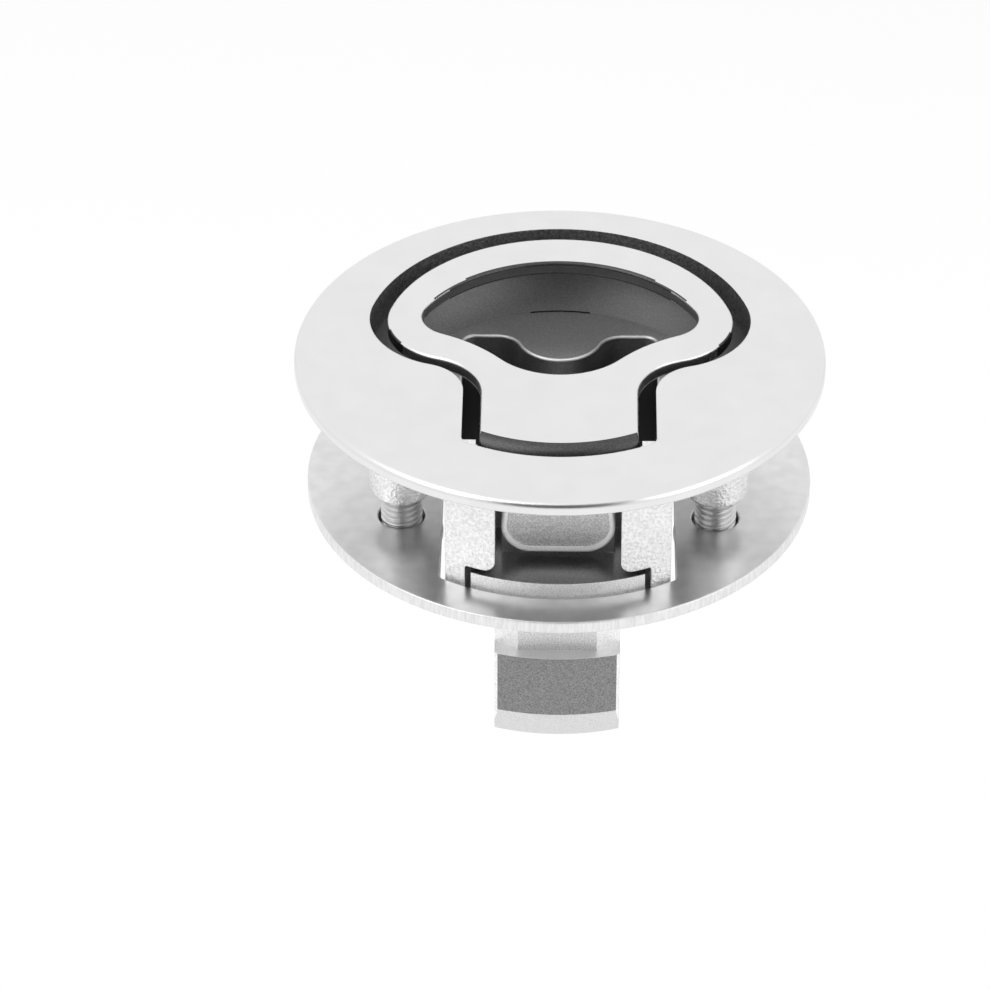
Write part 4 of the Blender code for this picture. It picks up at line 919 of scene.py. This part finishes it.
class LATCH_OT_handle(Operator):
    """Adds the keyhole-shaped pull handle with its knuckle and heel."""
    bl_idname = "latch.add_handle"
    bl_label = "Pull handle"

    def execute(self, context):
        sizes = context.scene.latch_handle
        bottom = TOP - sizes.thickness
        handle = slab("pull_ring", [self.outline(0), self.opening(sizes)], bottom, TOP,
                      "polished_face", sizes.edge)
        reach = HANDLE_NECK_HALF_WIDTH + CUT_PAST
        knuckle = slab("knuckle", [self.knuckle_wire(sizes)], -reach, reach, "polished_face",
                       laid=SEEN_FROM_SIDE)
        trim(knuckle, slab("knuckle_plan", [self.outline(KNUCKLE_INSET)],
                           PIN_Z - 2 * sizes.barrel, TOP - sizes.thickness / 2,
                           "cast_skin"))
        join(handle, knuckle)
        trim(handle, self.nose(sizes))
        join(handle, self.heel(sizes))
        # The web takes the heel's painted shade
        join(handle, slab("gusset", [self.gusset_wire(sizes)], -GUSSET_HALF_WIDTH,
                          GUSSET_HALF_WIDTH, "heel_painted_shade", laid=SEEN_FROM_SIDE))
        half = BLOCK_HALF_WIDTH
        cut(handle, rods("handle_bore", [((-half, PIN_Y, PIN_Z), (half, PIN_Y, PIN_Z),
                                          sizes.pin + SEAT_GAP)], "cast_skin"))
        # The rounded front edge takes near-black painted shade
        paint(handle, "front_edge_painted_shade", lambda centre, normal: normal.y < -0.2
              and centre.z > PIN_Z
              and Vector(centre.xy).length > HANDLE_FRONT_RADIUS - FRONT_BAND)
        # The finger opening's wall takes the dish's painted shade
        paint(handle, "dish_wall_painted_shade", lambda centre, normal: abs(normal.z) < 0.2
              and centre.z > TOP - sizes.thickness
              and (centre.xy - Vector((0, RECESS_CENTRE_Y))).length < sizes.opening + MERGE)
        hand_over(handle, "pull_handle", "handle")
        return {"FINISHED"}

    def outline(self, inset):
        """Plan of the handle, drawn past its rounded front edge."""
        front = HANDLE_FRONT_RADIUS + SEAT_GAP - inset
        return keyhole(-RING_GAP - inset, -SHOULDER_GAP - inset, HANDLE_CORNER, front)

    def opening(self, sizes):
        """Closed wire of the finger opening: a crescent with a bulge towards the neck."""
        tip_radius, flank_radius = OPENING_TIP_RADIUS, OPENING_FLANK_RADIUS
        reach = sizes.opening - tip_radius
        lean = OPENING_TIP_ANGLE
        centre_y = RECESS_CENTRE_Y - OPENING_SHIFT
        tip = Vector((reach * math.cos(lean), centre_y + reach * math.sin(lean)))
        bulge = Vector((0, PIN_Y + BRIDGE_LENGTH + sizes.bulge))
        to_bulge, to_tip = sizes.bulge + flank_radius, tip_radius + flank_radius
        between = (tip - bulge).length
        along = (to_bulge ** 2 - to_tip ** 2 + between ** 2) / (2 * between)
        aside = math.sqrt(to_bulge ** 2 - along ** 2)
        direction = (tip - bulge) / between
        flank = bulge + along * direction + aside * Vector((direction.y, -direction.x))
        right = [(flank.x, flank.y, -flank_radius), (tip.x, tip.y, tip_radius)]
        return belt([(bulge.x, bulge.y, sizes.bulge)] + right
                    + [(0, centre_y, sizes.opening)] + mirrored(right))

    def knuckle_wire(self, sizes):
        """Side view of the knuckle round the pin, as (y, z)."""
        high = TOP + CUT_PAST
        return belt([(-HANDLE_FRONT_RADIUS - CUT_PAST, high, 0),
                     (PIN_Y, PIN_Z, sizes.barrel),
                     (PIN_Y + BARREL_REACH, TOP - sizes.thickness, 0),
                     (PIN_Y + BARREL_REACH, high, 0)])

    def gusset_wire(self, sizes):
        """Side view of the web between the heel and the knuckle, as (y, z)."""
        front = HEEL_REAR_Y - sizes.heel / 2
        root = PIN_Z - sizes.barrel / 2
        return belt([(front, GUSSET_BOTTOM, 0), (HEEL_REAR_Y - MERGE, GUSSET_BOTTOM, 0),
                     (PIN_Y, root, 0), (front, root, 0)])

    def nose(self, sizes):
        """Everything behind the rounded front edge, which is concentric with the flange."""
        radius, high = sizes.nose, TOP + CUT_PAST
        x, z = HANDLE_FRONT_RADIUS - radius, TOP - radius
        entry = Vector((x + radius * math.cos(NOSE_START), 0,
                        z + radius * math.sin(NOSE_START)))
        run_in = entry.x - (high - entry.z) * math.tan(NOSE_START)
        low = HEEL_BOTTOM - CUT_PAST
        wire = profile(0, high)
        wire.run((run_in, 0, high))
        wire.run(entry)
        wire.swing((x, 0, z), -NOSE_START)
        wire.run((HANDLE_FRONT_RADIUS, 0, low))
        wire.run((0, 0, low))
        nose = turned("handle_nose", wire, "polished_face")
        join(nose, box("behind_nose", (-FLANGE_RADIUS, PIN_Y + BARREL_REACH, low - CUT_PAST),
                       (FLANGE_RADIUS, FLANGE_RADIUS, high + CUT_PAST), "polished_face"))
        return nose

    def heel(self, sizes):
        """Heel plate that pushes the bolt, with rounded lower corners and a raised lip."""
        front = sizes.heel - HEEL_REAR_Y
        # The heel takes a painted highlight, which stays on its lip
        heel = slab("heel", [self.heel_wire(0, 0)], -HEEL_REAR_Y, front, "painted_highlight",
                    HEEL_EDGE, SEEN_FROM_FRONT)
        # The panel inside the lip takes painted shade
        cut(heel, slab("heel_panel", [self.heel_wire(LIP_SIDE, LIP_LOW)], front - LIP_HEIGHT,
                       front + CUT_PAST, "heel_painted_shade", laid=SEEN_FROM_FRONT))
        return heel

    def heel_wire(self, side_inset, low_inset):
        """Front view of the heel, drawn in by a lip's width, as (x, z)."""
        corner = HEEL_CORNER - side_inset
        side = HEEL_HALF_WIDTH - side_inset
        return belt(both_sides([(side - corner, HEEL_BOTTOM + low_inset + corner, corner),
                                (side - HEEL_TAPER, PIN_Z - HEEL_TOP_DROP, 0)]))


class LATCH_OT_pin(Operator):
    """Adds the hinge pin across the posts."""
    bl_idname = "latch.add_pin"
    bl_label = "Hinge pin"

    def execute(self, context):
        radius = context.scene.latch_handle.pin
        half = BLOCK_HALF_WIDTH - SEAT_GAP
        edge = SEAT_GAP
        wire = profile(0, half)
        wire.run((radius - edge, 0, half))
        wire.swing((radius - edge, 0, half - edge), -math.pi / 2)
        wire.run((radius, 0, edge - half))
        wire.swing((radius - edge, 0, edge - half), -math.pi / 2)
        wire.run((0, 0, -half))
        pin = turned("hinge_rod", wire, "plated_steel", SMALL_STEPS)
        pin.data.transform(Matrix.Translation((0, PIN_Y, PIN_Z))
                           @ Matrix.Rotation(math.pi / 2, 4, "Y"))
        hand_over(pin, "hinge_pin", "frame")
        return {"FINISHED"}


class LATCH_OT_bolt(Operator):
    """Adds the sprung bolt with its wings and hooked tongue."""
    bl_idname = "latch.add_bolt"
    bl_label = "Bolt"

    def execute(self, context):
        sizes = context.scene.latch_bolt
        front_y = -math.sqrt(BLOCK_FRONT_RADIUS ** 2 - WING_HALF_WIDTH ** 2)
        plan = belt([(0, 0, BLOCK_FRONT_RADIUS)] + both_sides([
            (WING_HALF_WIDTH, front_y, 0), (WING_HALF_WIDTH, WING_REAR_Y, 0),
            (SLIDE_HALF_WIDTH, WING_REAR_Y, 0), (SLIDE_HALF_WIDTH, SLIDE_REAR_Y, 0)]))
        bolt = slab("bolt_casting", [plan], SLIDE_BOTTOM, SLIDE_TOP, "bolt_skin")
        self.add_blocks(bolt)
        join(bolt, self.tongue(sizes))
        radius = sizes.spring_radius + sizes.wire_radius + EAR_GAP
        cut(bolt, rods("spring_pockets", [
            ((SPRING_X * sign, SLIDE_REAR_Y - SPRING_POCKET_DEPTH, SPRING_Z),
             (SPRING_X * sign, SLIDE_REAR_Y + CUT_PAST, SPRING_Z), radius)
            for sign in SIDES.values()], "bolt_skin"))
        # The tongue's front face takes painted shade
        paint(bolt, "tongue_face_painted_shade", lambda centre, normal: normal.y < -0.9
              and HOOK_FACE_BOTTOM < centre.z < HOOK_TOP and centre.y < SHANK_FRONT_Y)
        # The bolt's upward faces above the hook take painted shade
        paint(bolt, "slide_painted_shade", lambda centre, normal: normal.z > 0.9
              and centre.z > HOOK_TOP + CUT_PAST)
        # The block fronts above the slide take painted shade
        paint(bolt, "slide_painted_shade", lambda centre, normal: normal.y < -0.9
              and centre.z > SLIDE_TOP)
        # The shank's front face takes painted shade
        paint(bolt, "shank_face_painted_shade", lambda centre, normal: normal.y < -0.9
              and HOOK_TOP < centre.z < SLIDE_BOTTOM + MERGE)
        # The hook's ledge takes a painted highlight
        paint(bolt, "painted_highlight", lambda centre, normal: normal.z > 0.9
              and centre.z < HOOK_TOP + CUT_PAST)
        # The tongue's rounded lower end takes painted shade
        paint(bolt, "tongue_nose", lambda centre, normal: centre.z < HOOK_FACE_BOTTOM
              and normal.y < 0)
        hand_over(bolt, "bolt", "bolt")
        return {"FINISHED"}

    def add_blocks(self, bolt):
        """Push block behind the heel and spring block behind the posts."""
        root = (SLIDE_TOP + SLIDE_BOTTOM) / 2
        half = HEEL_HALF_WIDTH
        block_top = SLIDE_TOP + BLOCK_STEP
        join(bolt, box("push_block", (-half, PUSH_FACE_Y, root),
                       (half, PUSH_FACE_Y + PUSH_BLOCK_LENGTH, PUSH_BLOCK_TOP),
                       "bolt_skin"))
        join(bolt, box("block_neck", (-half, PUSH_FACE_Y + MERGE, root),
                       (half, SLIDE_REAR_Y - CUT_PAST, block_top), "bolt_skin"))
        wide = SLIDE_HALF_WIDTH - MERGE
        join(bolt, box("spring_block", (-wide, POST_REAR_Y + SPRING_BLOCK_SETBACK, root),
                       (wide, SLIDE_REAR_Y - MERGE, block_top + MERGE), "bolt_skin"))

    def tongue(self, sizes):
        """Hooked tongue with a chamfered shank, a round nose and rounded corners."""
        half, face = sizes.tongue_half_width, -sizes.tongue_radius
        root = (SLIDE_TOP + SLIDE_BOTTOM) / 2
        low = TONGUE_BOTTOM - CUT_PAST
        side_view = belt([
            (TONGUE_REAR_Y, low, 0), (TONGUE_REAR_Y, root, 0),
            (SHANK_FRONT_Y, root, 0), (SHANK_FRONT_Y, HOOK_TOP, 0),
            (face - CUT_PAST, HOOK_TOP, 0), (face - CUT_PAST, low, 0)])
        tongue = slab("tongue", [side_view], -half, half, "bolt_skin", laid=SEEN_FROM_SIDE)
        corner = sizes.tongue_corner
        corner_z = TONGUE_BOTTOM - CUT_PAST / 2 + corner
        front_view = belt(both_sides([(half - corner, corner_z, corner),
                                      (half, SLIDE_TOP, 0)]))
        trim(tongue, slab("tongue_front", [front_view], 0, FLANGE_RADIUS, "bolt_skin",
                          laid=SEEN_FROM_FRONT))
        wire = profile(0, SLIDE_TOP)
        wire.run((-face, 0, SLIDE_TOP))
        wire.run((-face, 0, HOOK_FACE_BOTTOM))
        wire.swing((-face - sizes.tongue_nose, 0, HOOK_FACE_BOTTOM), -math.pi / 2)
        wire.run((0, 0, TONGUE_BOTTOM))
        trim(tongue, turned("tongue_curve", wire, "bolt_skin"))
        reach = sizes.chamfer + CUT_PAST
        edge = sizes.tongue_edge
        side_y = -math.sqrt(face ** 2 - half ** 2)
        for side, sign in SIDES.items():
            far = (half + CUT_PAST) * sign
            corners = [(far, SHANK_FRONT_Y + reach, 0), (far, SHANK_FRONT_Y - CUT_PAST, 0),
                       (far - 2 * reach * sign, SHANK_FRONT_Y - CUT_PAST, 0)]
            cut(tongue, slab(f"chamfer_{side}", [belt(corners[::-sign])], HOOK_TOP + MERGE,
                             SLIDE_TOP, "bolt_skin"))
            corners = [(far, side_y + edge + CUT_PAST, 0), (far, side_y - CUT_PAST, 0),
                       ((half - edge - CUT_PAST) * sign, side_y - CUT_PAST, 0)]
            cut(tongue, slab(f"edge_{side}", [belt(corners[::-sign])],
                             TONGUE_BOTTOM - CUT_PAST, HOOK_TOP + CUT_PAST, "bolt_skin"))
        return tongue


class LATCH_OT_springs(Operator):
    """Adds the two compression springs behind the bolt."""
    bl_idname = "latch.add_springs"
    bl_label = "Bolt springs"

    def execute(self, context):
        sizes = context.scene.latch_bolt
        wire = sizes.wire_radius
        closed = CLOSED_TURN * wire
        length_along = SPRING_REAR_Y - SPRING_FRONT_Y - 2 * wire
        open_turns = sizes.spring_turns - 2
        pitch = (length_along - 2 * closed) / open_turns
        for side, sign in SIDES.items():
            work = bmesh.new()
            axis_point = Vector((SPRING_X * sign, SPRING_FRONT_Y + wire, SPRING_Z))
            start = axis_point + Vector((sizes.spring_radius, 0, 0))
            face = bmesh.ops.create_circle(work, cap_ends=True, segments=12, radius=wire,
                                           matrix=Matrix.Translation(start))
            end = [f for v in face["verts"] for f in v.link_faces][:1]
            for turns, rise in ((1, closed), (open_turns, pitch), (1, closed)):
                steps = 36 * turns
                end = bmesh.ops.spin(work, geom=end, cent=axis_point, axis=(0, 1, 0),
                                     dvec=(0, rise * turns / steps, 0),
                                     angle=math.tau * turns, steps=steps)["geom_last"]
            spring = as_object(f"coil_{side}", work, "spring_wire")
            node = f"bolt_spring_{side}"
            hand_over(spring, node, "frame")
            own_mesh(spring)
        return {"FINISHED"}


class LATCH_OT_cover(Operator):
    """Adds the slide cover under the block, forked round the tongue."""
    bl_idname = "latch.add_cover"
    bl_label = "Slide cover"

    def execute(self, context):
        sizes = context.scene.latch_plate
        corner, front = COVER_CORNER, COVER_FRONT_Y
        slot = context.scene.latch_bolt.tongue_half_width + COVER_SLOT_GAP
        slot_rear = TONGUE_REAR_Y + BOLT_TRAVEL + HOLE_GAP
        side = BLOCK_HALF_WIDTH - SEAT_GAP - corner
        right = [(slot + corner, front + corner, corner), (side, front + corner, corner),
                 (side, BLOCK_REAR_Y - SEAT_GAP - corner, corner)]
        back = [(corner - slot, slot_rear - corner, -corner),
                (slot - corner, slot_rear - corner, -corner)]
        outlines = [belt(right + mirrored(right) + back)]
        for sign in SIDES.values():
            for y in COVER_SCREW_ROWS.values():
                outlines.append(circle(COVER_SCREW_X * sign, y,
                                       sizes.small_radius + SEAT_GAP, TINY_STEPS))
        cover = slab("cover_sheet", outlines, COVER_BOTTOM, COVER_TOP, "plate_face",
                     sizes.edge / 2)
        hand_over(cover, "slide_cover", "frame")
        return {"FINISHED"}


def add_screw(name, place, radius, head, height, tip, pitch, cross):
    """Pan-head screw with its head down, a thread and a cross recess."""
    x, y, seat = place
    core, edge = radius - pitch * THREAD_DEPTH, height * HEAD_ROUNDING
    wire = profile(0, tip)
    wire.run((core - pitch / 2, 0, tip))
    wire.run((core, 0, tip - pitch / 2))
    wire.run((core, 0, seat))
    wire.run((head - SEAT_GAP / 2, 0, seat))
    wire.swing((head - SEAT_GAP / 2, 0, seat - SEAT_GAP / 2), -math.pi / 2)
    wire.run((head, 0, seat - height + edge))
    wire.swing((head - edge, 0, seat - height + edge), -math.pi / 2)
    wire.run((0, 0, seat - height))
    screw = turned(name, wire, "plated_steel", SMALL_STEPS, (x, y, 0))
    low = seat - height
    # The cross recess's walls take the recesses' painted shade
    for arm, half_x, half_y in (("across", cross[0] / 2, cross[1] / 2),
                                ("along", cross[1] / 2, cross[0] / 2)):
        cut(screw, box(f"cross_{arm}", (x - half_x, y - half_y, low - CUT_PAST),
                       (x + half_x, y + half_y, low + cross[2]), "recess_painted_shade"))
    add_thread(screw, (x, y), core, radius, seat + pitch / 4, tip - pitch, pitch)
    return screw


def add_thread(screw, place, core, crest, low, high, pitch):
    """Winds a thread's ridge round a screw's core."""
    work = bmesh.new()
    work.from_mesh(screw.data)
    x, y = place
    inside = core - pitch * THREAD_ROOT
    flank, top = pitch * THREAD_FLANK, pitch * THREAD_CREST
    section = [work.verts.new((x + r, y, low + z)) for r, z in (
        (inside, -flank), (crest, -top), (crest, top), (inside, flank))]
    face = bmesh.ops.contextual_create(work, geom=section)["faces"]
    turns = (high - low) / pitch
    steps = math.ceil(turns * TINY_STEPS)
    bmesh.ops.spin(work, geom=face, cent=(x, y, 0), axis=(0, 0, 1),
                   dvec=(0, 0, (high - low) / steps), angle=math.tau * turns, steps=steps)
    bmesh.ops.recalc_face_normals(work, faces=work.faces)
    work.to_mesh(screw.data)
    work.free()


class LATCH_OT_cover_screws(Operator):
    """Adds the four small screws of the slide cover."""
    bl_idname = "latch.add_cover_screws"
    bl_label = "Cover screws"

    def execute(self, context):
        sizes = context.scene.latch_plate
        for side, sign in SIDES.items():
            for row, y in COVER_SCREW_ROWS.items():
                seat = COVER_BOTTOM - SEAT_GAP
                screw = add_screw(f"small_screw_{side}_{row}", (COVER_SCREW_X * sign, y, seat),
                                  sizes.small_radius, sizes.small_head, SMALL_HEAD_HEIGHT,
                                  seat + SMALL_SCREW_LENGTH, sizes.small_pitch, SMALL_CROSS)
                hand_over(screw, f"cover_screw_{side}_{row}", "frame")
        return {"FINISHED"}


class LATCH_OT_plate(Operator):
    """Adds the back plate that clamps the lid from below."""
    bl_idname = "latch.add_plate"
    bl_label = "Back plate"

    def execute(self, context):
        sizes = context.scene.latch_plate
        half, corner = BLOCK_HALF_WIDTH + HOLE_GAP, PLATE_HOLE_CORNER
        hole_radius = BLOCK_FRONT_RADIUS + EAR_GAP
        corner_y = -math.sqrt((hole_radius - corner) ** 2 - (half - corner) ** 2)
        rear = BLOCK_REAR_CORNER + HOLE_GAP
        hole = belt([(0, 0, hole_radius)] + both_sides([
            (half - corner, corner_y, corner),
            (half - rear, BLOCK_REAR_Y + HOLE_GAP - rear, rear)]))
        outlines = [circle(0, 0, PLATE_RADIUS, ROUND_STEPS), hole]
        for sign in SIDES.values():
            outlines.append(circle(BOSS_X * sign, BOSS_Y, sizes.screw_radius + SEAT_GAP,
                                   SMALL_STEPS))
        plate = slab("plate_disc", outlines, PLATE_BOTTOM, PLATE_TOP, "plate_face",
                     sizes.edge)
        paint(plate, "plate_rim", lambda centre, normal: abs(normal.z) < 0.8)
        hand_over(plate, "back_plate", "frame")
        return {"FINISHED"}


class LATCH_OT_clamp_screws(Operator):
    """Adds the two clamp screws."""
    bl_idname = "latch.add_clamp_screws"
    bl_label = "Clamp screws"

    def execute(self, context):
        sizes = context.scene.latch_plate
        for side, sign in SIDES.items():
            screw = add_screw(f"pan_screw_{side}", (BOSS_X * sign, BOSS_Y, HEAD_TOP),
                              sizes.screw_radius, sizes.head_radius, sizes.head_height,
                              SCREW_TIP_Z, sizes.screw_pitch,
                              (sizes.cross_length, sizes.cross_width, CROSS_DEPTH))
            hand_over(screw, f"clamp_screw_{side}", "frame")
        return {"FINISHED"}


class LATCH_OT_washers(Operator):
    """Adds the flat washers and the split lock washers."""
    bl_idname = "latch.add_washers"
    bl_label = "Washers"

    def execute(self, context):
        sizes = context.scene.latch_plate
        inner = sizes.screw_radius + SEAT_GAP
        for side, sign in SIDES.items():
            x = BOSS_X * sign
            outlines = [circle(x, BOSS_Y, sizes.washer_radius, SMALL_STEPS),
                        circle(x, BOSS_Y, inner, SMALL_STEPS)]
            flat = slab(f"washer_{side}", outlines, PLATE_BOTTOM - WASHER_DROP,
                        PLATE_BOTTOM - SEAT_GAP, "plated_steel", WASHER_EDGE)
            hand_over(flat, f"flat_washer_{side}", "frame")
            hand_over(self.split_ring(f"split_ring_{side}", x, inner),
                      f"lock_washer_{side}", "frame")
        return {"FINISHED"}

    def split_ring(self, name, x, inner):
        """Ring spun from its square section, with a gap where it is split."""
        low, high, outer = LOCK_WASHER_LOW, LOCK_WASHER_HIGH, LOCK_WASHER_RADIUS
        half_gap = math.asin(SEAT_GAP / inner)
        work = bmesh.new()
        section = [work.verts.new((x + r, BOSS_Y, z)) for r, z in (
            (inner, low), (outer, low), (outer, high), (inner, high))]
        face = bmesh.ops.contextual_create(work, geom=section)["faces"]
        bmesh.ops.rotate(work, verts=section, cent=(x, BOSS_Y, 0),
                         matrix=Matrix.Rotation(half_gap, 3, "Z"))
        bmesh.ops.spin(work, geom=face, cent=(x, BOSS_Y, 0), axis=(0, 0, 1),
                       angle=math.tau - 2 * half_gap, steps=SMALL_STEPS)
        bmesh.ops.recalc_face_normals(work, faces=work.faces)
        soften(work, LOCK_WASHER_EDGE, lambda edge: edge.calc_face_angle() > SHARP)
        return as_object(name, work, "plated_steel")


class LATCH_OT_stage(Operator):
    """Sets the floor, the lamps, the world and the camera."""
    bl_idname = "latch.set_stage"
    bl_label = "Studio"

    def execute(self, context):
        sizes = context.scene.latch_stage
        self.world(context.scene)
        self.floor(sizes)
        self.card(sizes)
        self.lamp("key_lamp", KEY_LAMP_PLACE, sizes.lamp)
        self.lamp("fill_lamp", FILL_LAMP_PLACE, sizes.lamp / 2)
        self.camera(context.scene, sizes)
        context.scene.view_settings.view_transform = "Standard"
        return {"FINISHED"}

    def seen_or_mirrored(self, tree):
        """One for rays from the camera, from gloss and through glass, and nought for others."""
        path = tree.nodes.new("ShaderNodeLightPath")
        total = path.outputs["Is Camera Ray"]
        for ray in ("Is Glossy Ray", "Is Transmission Ray"):
            either = tree.nodes.new("ShaderNodeMath")
            either.operation = "MAXIMUM"
            tree.links.new(total, either.inputs[0])
            tree.links.new(path.outputs[ray], either.inputs[1])
            total = either.outputs["Value"]
        return total

    def world(self, scene):
        """White to the camera and to gloss, and a plain level for other light."""
        world = bpy.data.worlds.new("studio")
        world.use_nodes = True
        tree = world.node_tree
        back = tree.nodes["Background"]
        back.inputs["Color"].default_value = (1, 1, 1, 1)
        level = tree.nodes.new("ShaderNodeMapRange")
        level.inputs["To Min"].default_value = WORLD_LEVEL
        level.inputs["To Max"].default_value = 1.0
        tree.links.new(self.seen_or_mirrored(tree), level.inputs["Value"])
        tree.links.new(level.outputs["Result"], back.inputs["Strength"])
        scene.world = world

    def floor(self, sizes):
        """Pale floor that shows white and keeps the object's shadow."""
        floor = self.board("floor", FLOOR_SIZE, FLOOR_SIZE,
                           Matrix.Translation((0, 0, -sizes.floor_drop)), FLOOR_GREY)
        tree = floor.data.materials[0].node_tree
        shader = tree.nodes["Principled BSDF"]
        shader.inputs["Emission Color"].default_value = (1, 1, 1, 1)
        lift = tree.nodes.new("ShaderNodeMath")
        lift.operation = "MULTIPLY"
        lift.inputs[1].default_value = FLOOR_LIFT
        tree.links.new(self.seen_or_mirrored(tree), lift.inputs[0])
        tree.links.new(lift.outputs["Value"], shader.inputs["Emission Strength"])

    def card(self, sizes):
        """Grey card behind the camera, which only polished faces mirror."""
        aim = Vector(CARD_PLACE)
        place = Matrix.Translation(aim) @ aim.to_track_quat("Z", "Y").to_matrix().to_4x4()
        card = self.board("front_card", sizes.card_width, CARD_DEPTH, place,
                          CARD_GREY)
        card.visible_camera = False
        card.visible_diffuse = False
        card.visible_shadow = False

    def board(self, name, width, depth, place, grey):
        """Flat matt board of the stage."""
        work = bmesh.new()
        bmesh.ops.create_grid(work, x_segments=1, y_segments=1, size=0.5)
        bmesh.ops.scale(work, vec=(width, depth, 1), verts=work.verts)
        bmesh.ops.transform(work, matrix=place, verts=work.verts)
        mesh = bpy.data.meshes.new(name)
        work.to_mesh(mesh)
        work.free()
        board = bpy.data.objects.new(name, mesh)
        bpy.context.scene.collection.objects.link(board)
        material = bpy.data.materials.new(f"{name}_matt")
        material.use_nodes = True
        shader = material.node_tree.nodes["Principled BSDF"]
        shader.inputs["Base Color"].default_value = (grey, grey, grey, 1)
        shader.inputs["Roughness"].default_value = 1
        shader.inputs["Specular IOR Level"].default_value = 0
        mesh.materials.append(material)
        return board

    def lamp(self, name, place, power):
        """Square soft lamp that faces the latch."""
        light = bpy.data.lights.new(name, "AREA")
        light.size = LAMP_SIZE
        light.energy = power
        lamp = bpy.data.objects.new(name, light)
        lamp.location = place
        lamp.rotation_euler = (-Vector(place)).to_track_quat("-Z", "Y").to_euler()
        bpy.context.scene.collection.objects.link(lamp)

    def camera(self, scene, sizes):
        """Camera in front of the tongue and above the flange."""
        data = bpy.data.cameras.new("camera")
        data.lens = sizes.lens
        data.sensor_width = SENSOR_WIDTH
        data.clip_start = NEAREST_SEEN
        camera = bpy.data.objects.new("camera", data)
        camera.location = CAMERA_PLACE
        sight = Vector(CAMERA_AIM) - camera.location
        camera.rotation_euler = sight.to_track_quat("-Z", "Y").to_euler()
        scene.collection.objects.link(camera)
        scene.camera = camera


class LATCH_PT_panel(Panel):
    """Lists the latch's pieces, sizes and finishes."""
    bl_idname = "LATCH_PT_panel"
    bl_label = "Flush pull latch"
    bl_space_type = "VIEW_3D"
    bl_region_type = "UI"
    bl_category = "Latch"

    def draw(self, context):
        layout = self.layout
        for operator in OPERATORS:
            layout.operator(operator.bl_idname)
        for name, group in GROUPS.items():
            values = getattr(context.scene, name)
            column = layout.column(align=True)
            column.label(text=group.__doc__)
            for value in group.__annotations__:
                column.prop(values, value)


GROUPS = {
    "latch_housing": HousingSizes, "latch_handle": HandleSizes, "latch_bolt": BoltSizes,
    "latch_plate": PlateSizes, "latch_finishes": Finishes, "latch_stage": StageSettings,
}
OPERATORS = (
    LATCH_OT_housing, LATCH_OT_handle, LATCH_OT_pin, LATCH_OT_bolt, LATCH_OT_springs,
    LATCH_OT_cover, LATCH_OT_cover_screws, LATCH_OT_plate, LATCH_OT_clamp_screws,
    LATCH_OT_washers, LATCH_OT_stage,
)


def register():
    """Registers the settings, the operators and the panel."""
    for name, group in GROUPS.items():
        bpy.utils.register_class(group)
        setattr(bpy.types.Scene, name, PointerProperty(type=group))
    for kind in OPERATORS + (LATCH_PT_panel,):
        bpy.utils.register_class(kind)


def unregister():
    """Takes the panel, the operators and the settings away again."""
    for kind in reversed(OPERATORS + (LATCH_PT_panel,)):
        bpy.utils.unregister_class(kind)
    for name, group in GROUPS.items():
        delattr(bpy.types.Scene, name)
        bpy.utils.unregister_class(group)


def main():
    """Makes the pieces and the stage."""
    register()
    bpy.ops.latch.add_housing()
    bpy.ops.latch.add_handle()
    bpy.ops.latch.add_pin()
    bpy.ops.latch.add_bolt()
    bpy.ops.latch.add_springs()
    bpy.ops.latch.add_cover()
    bpy.ops.latch.add_cover_screws()
    bpy.ops.latch.add_plate()
    bpy.ops.latch.add_clamp_screws()
    bpy.ops.latch.add_washers()
    bpy.ops.latch.set_stage()


if __name__ == "__main__":
    main()
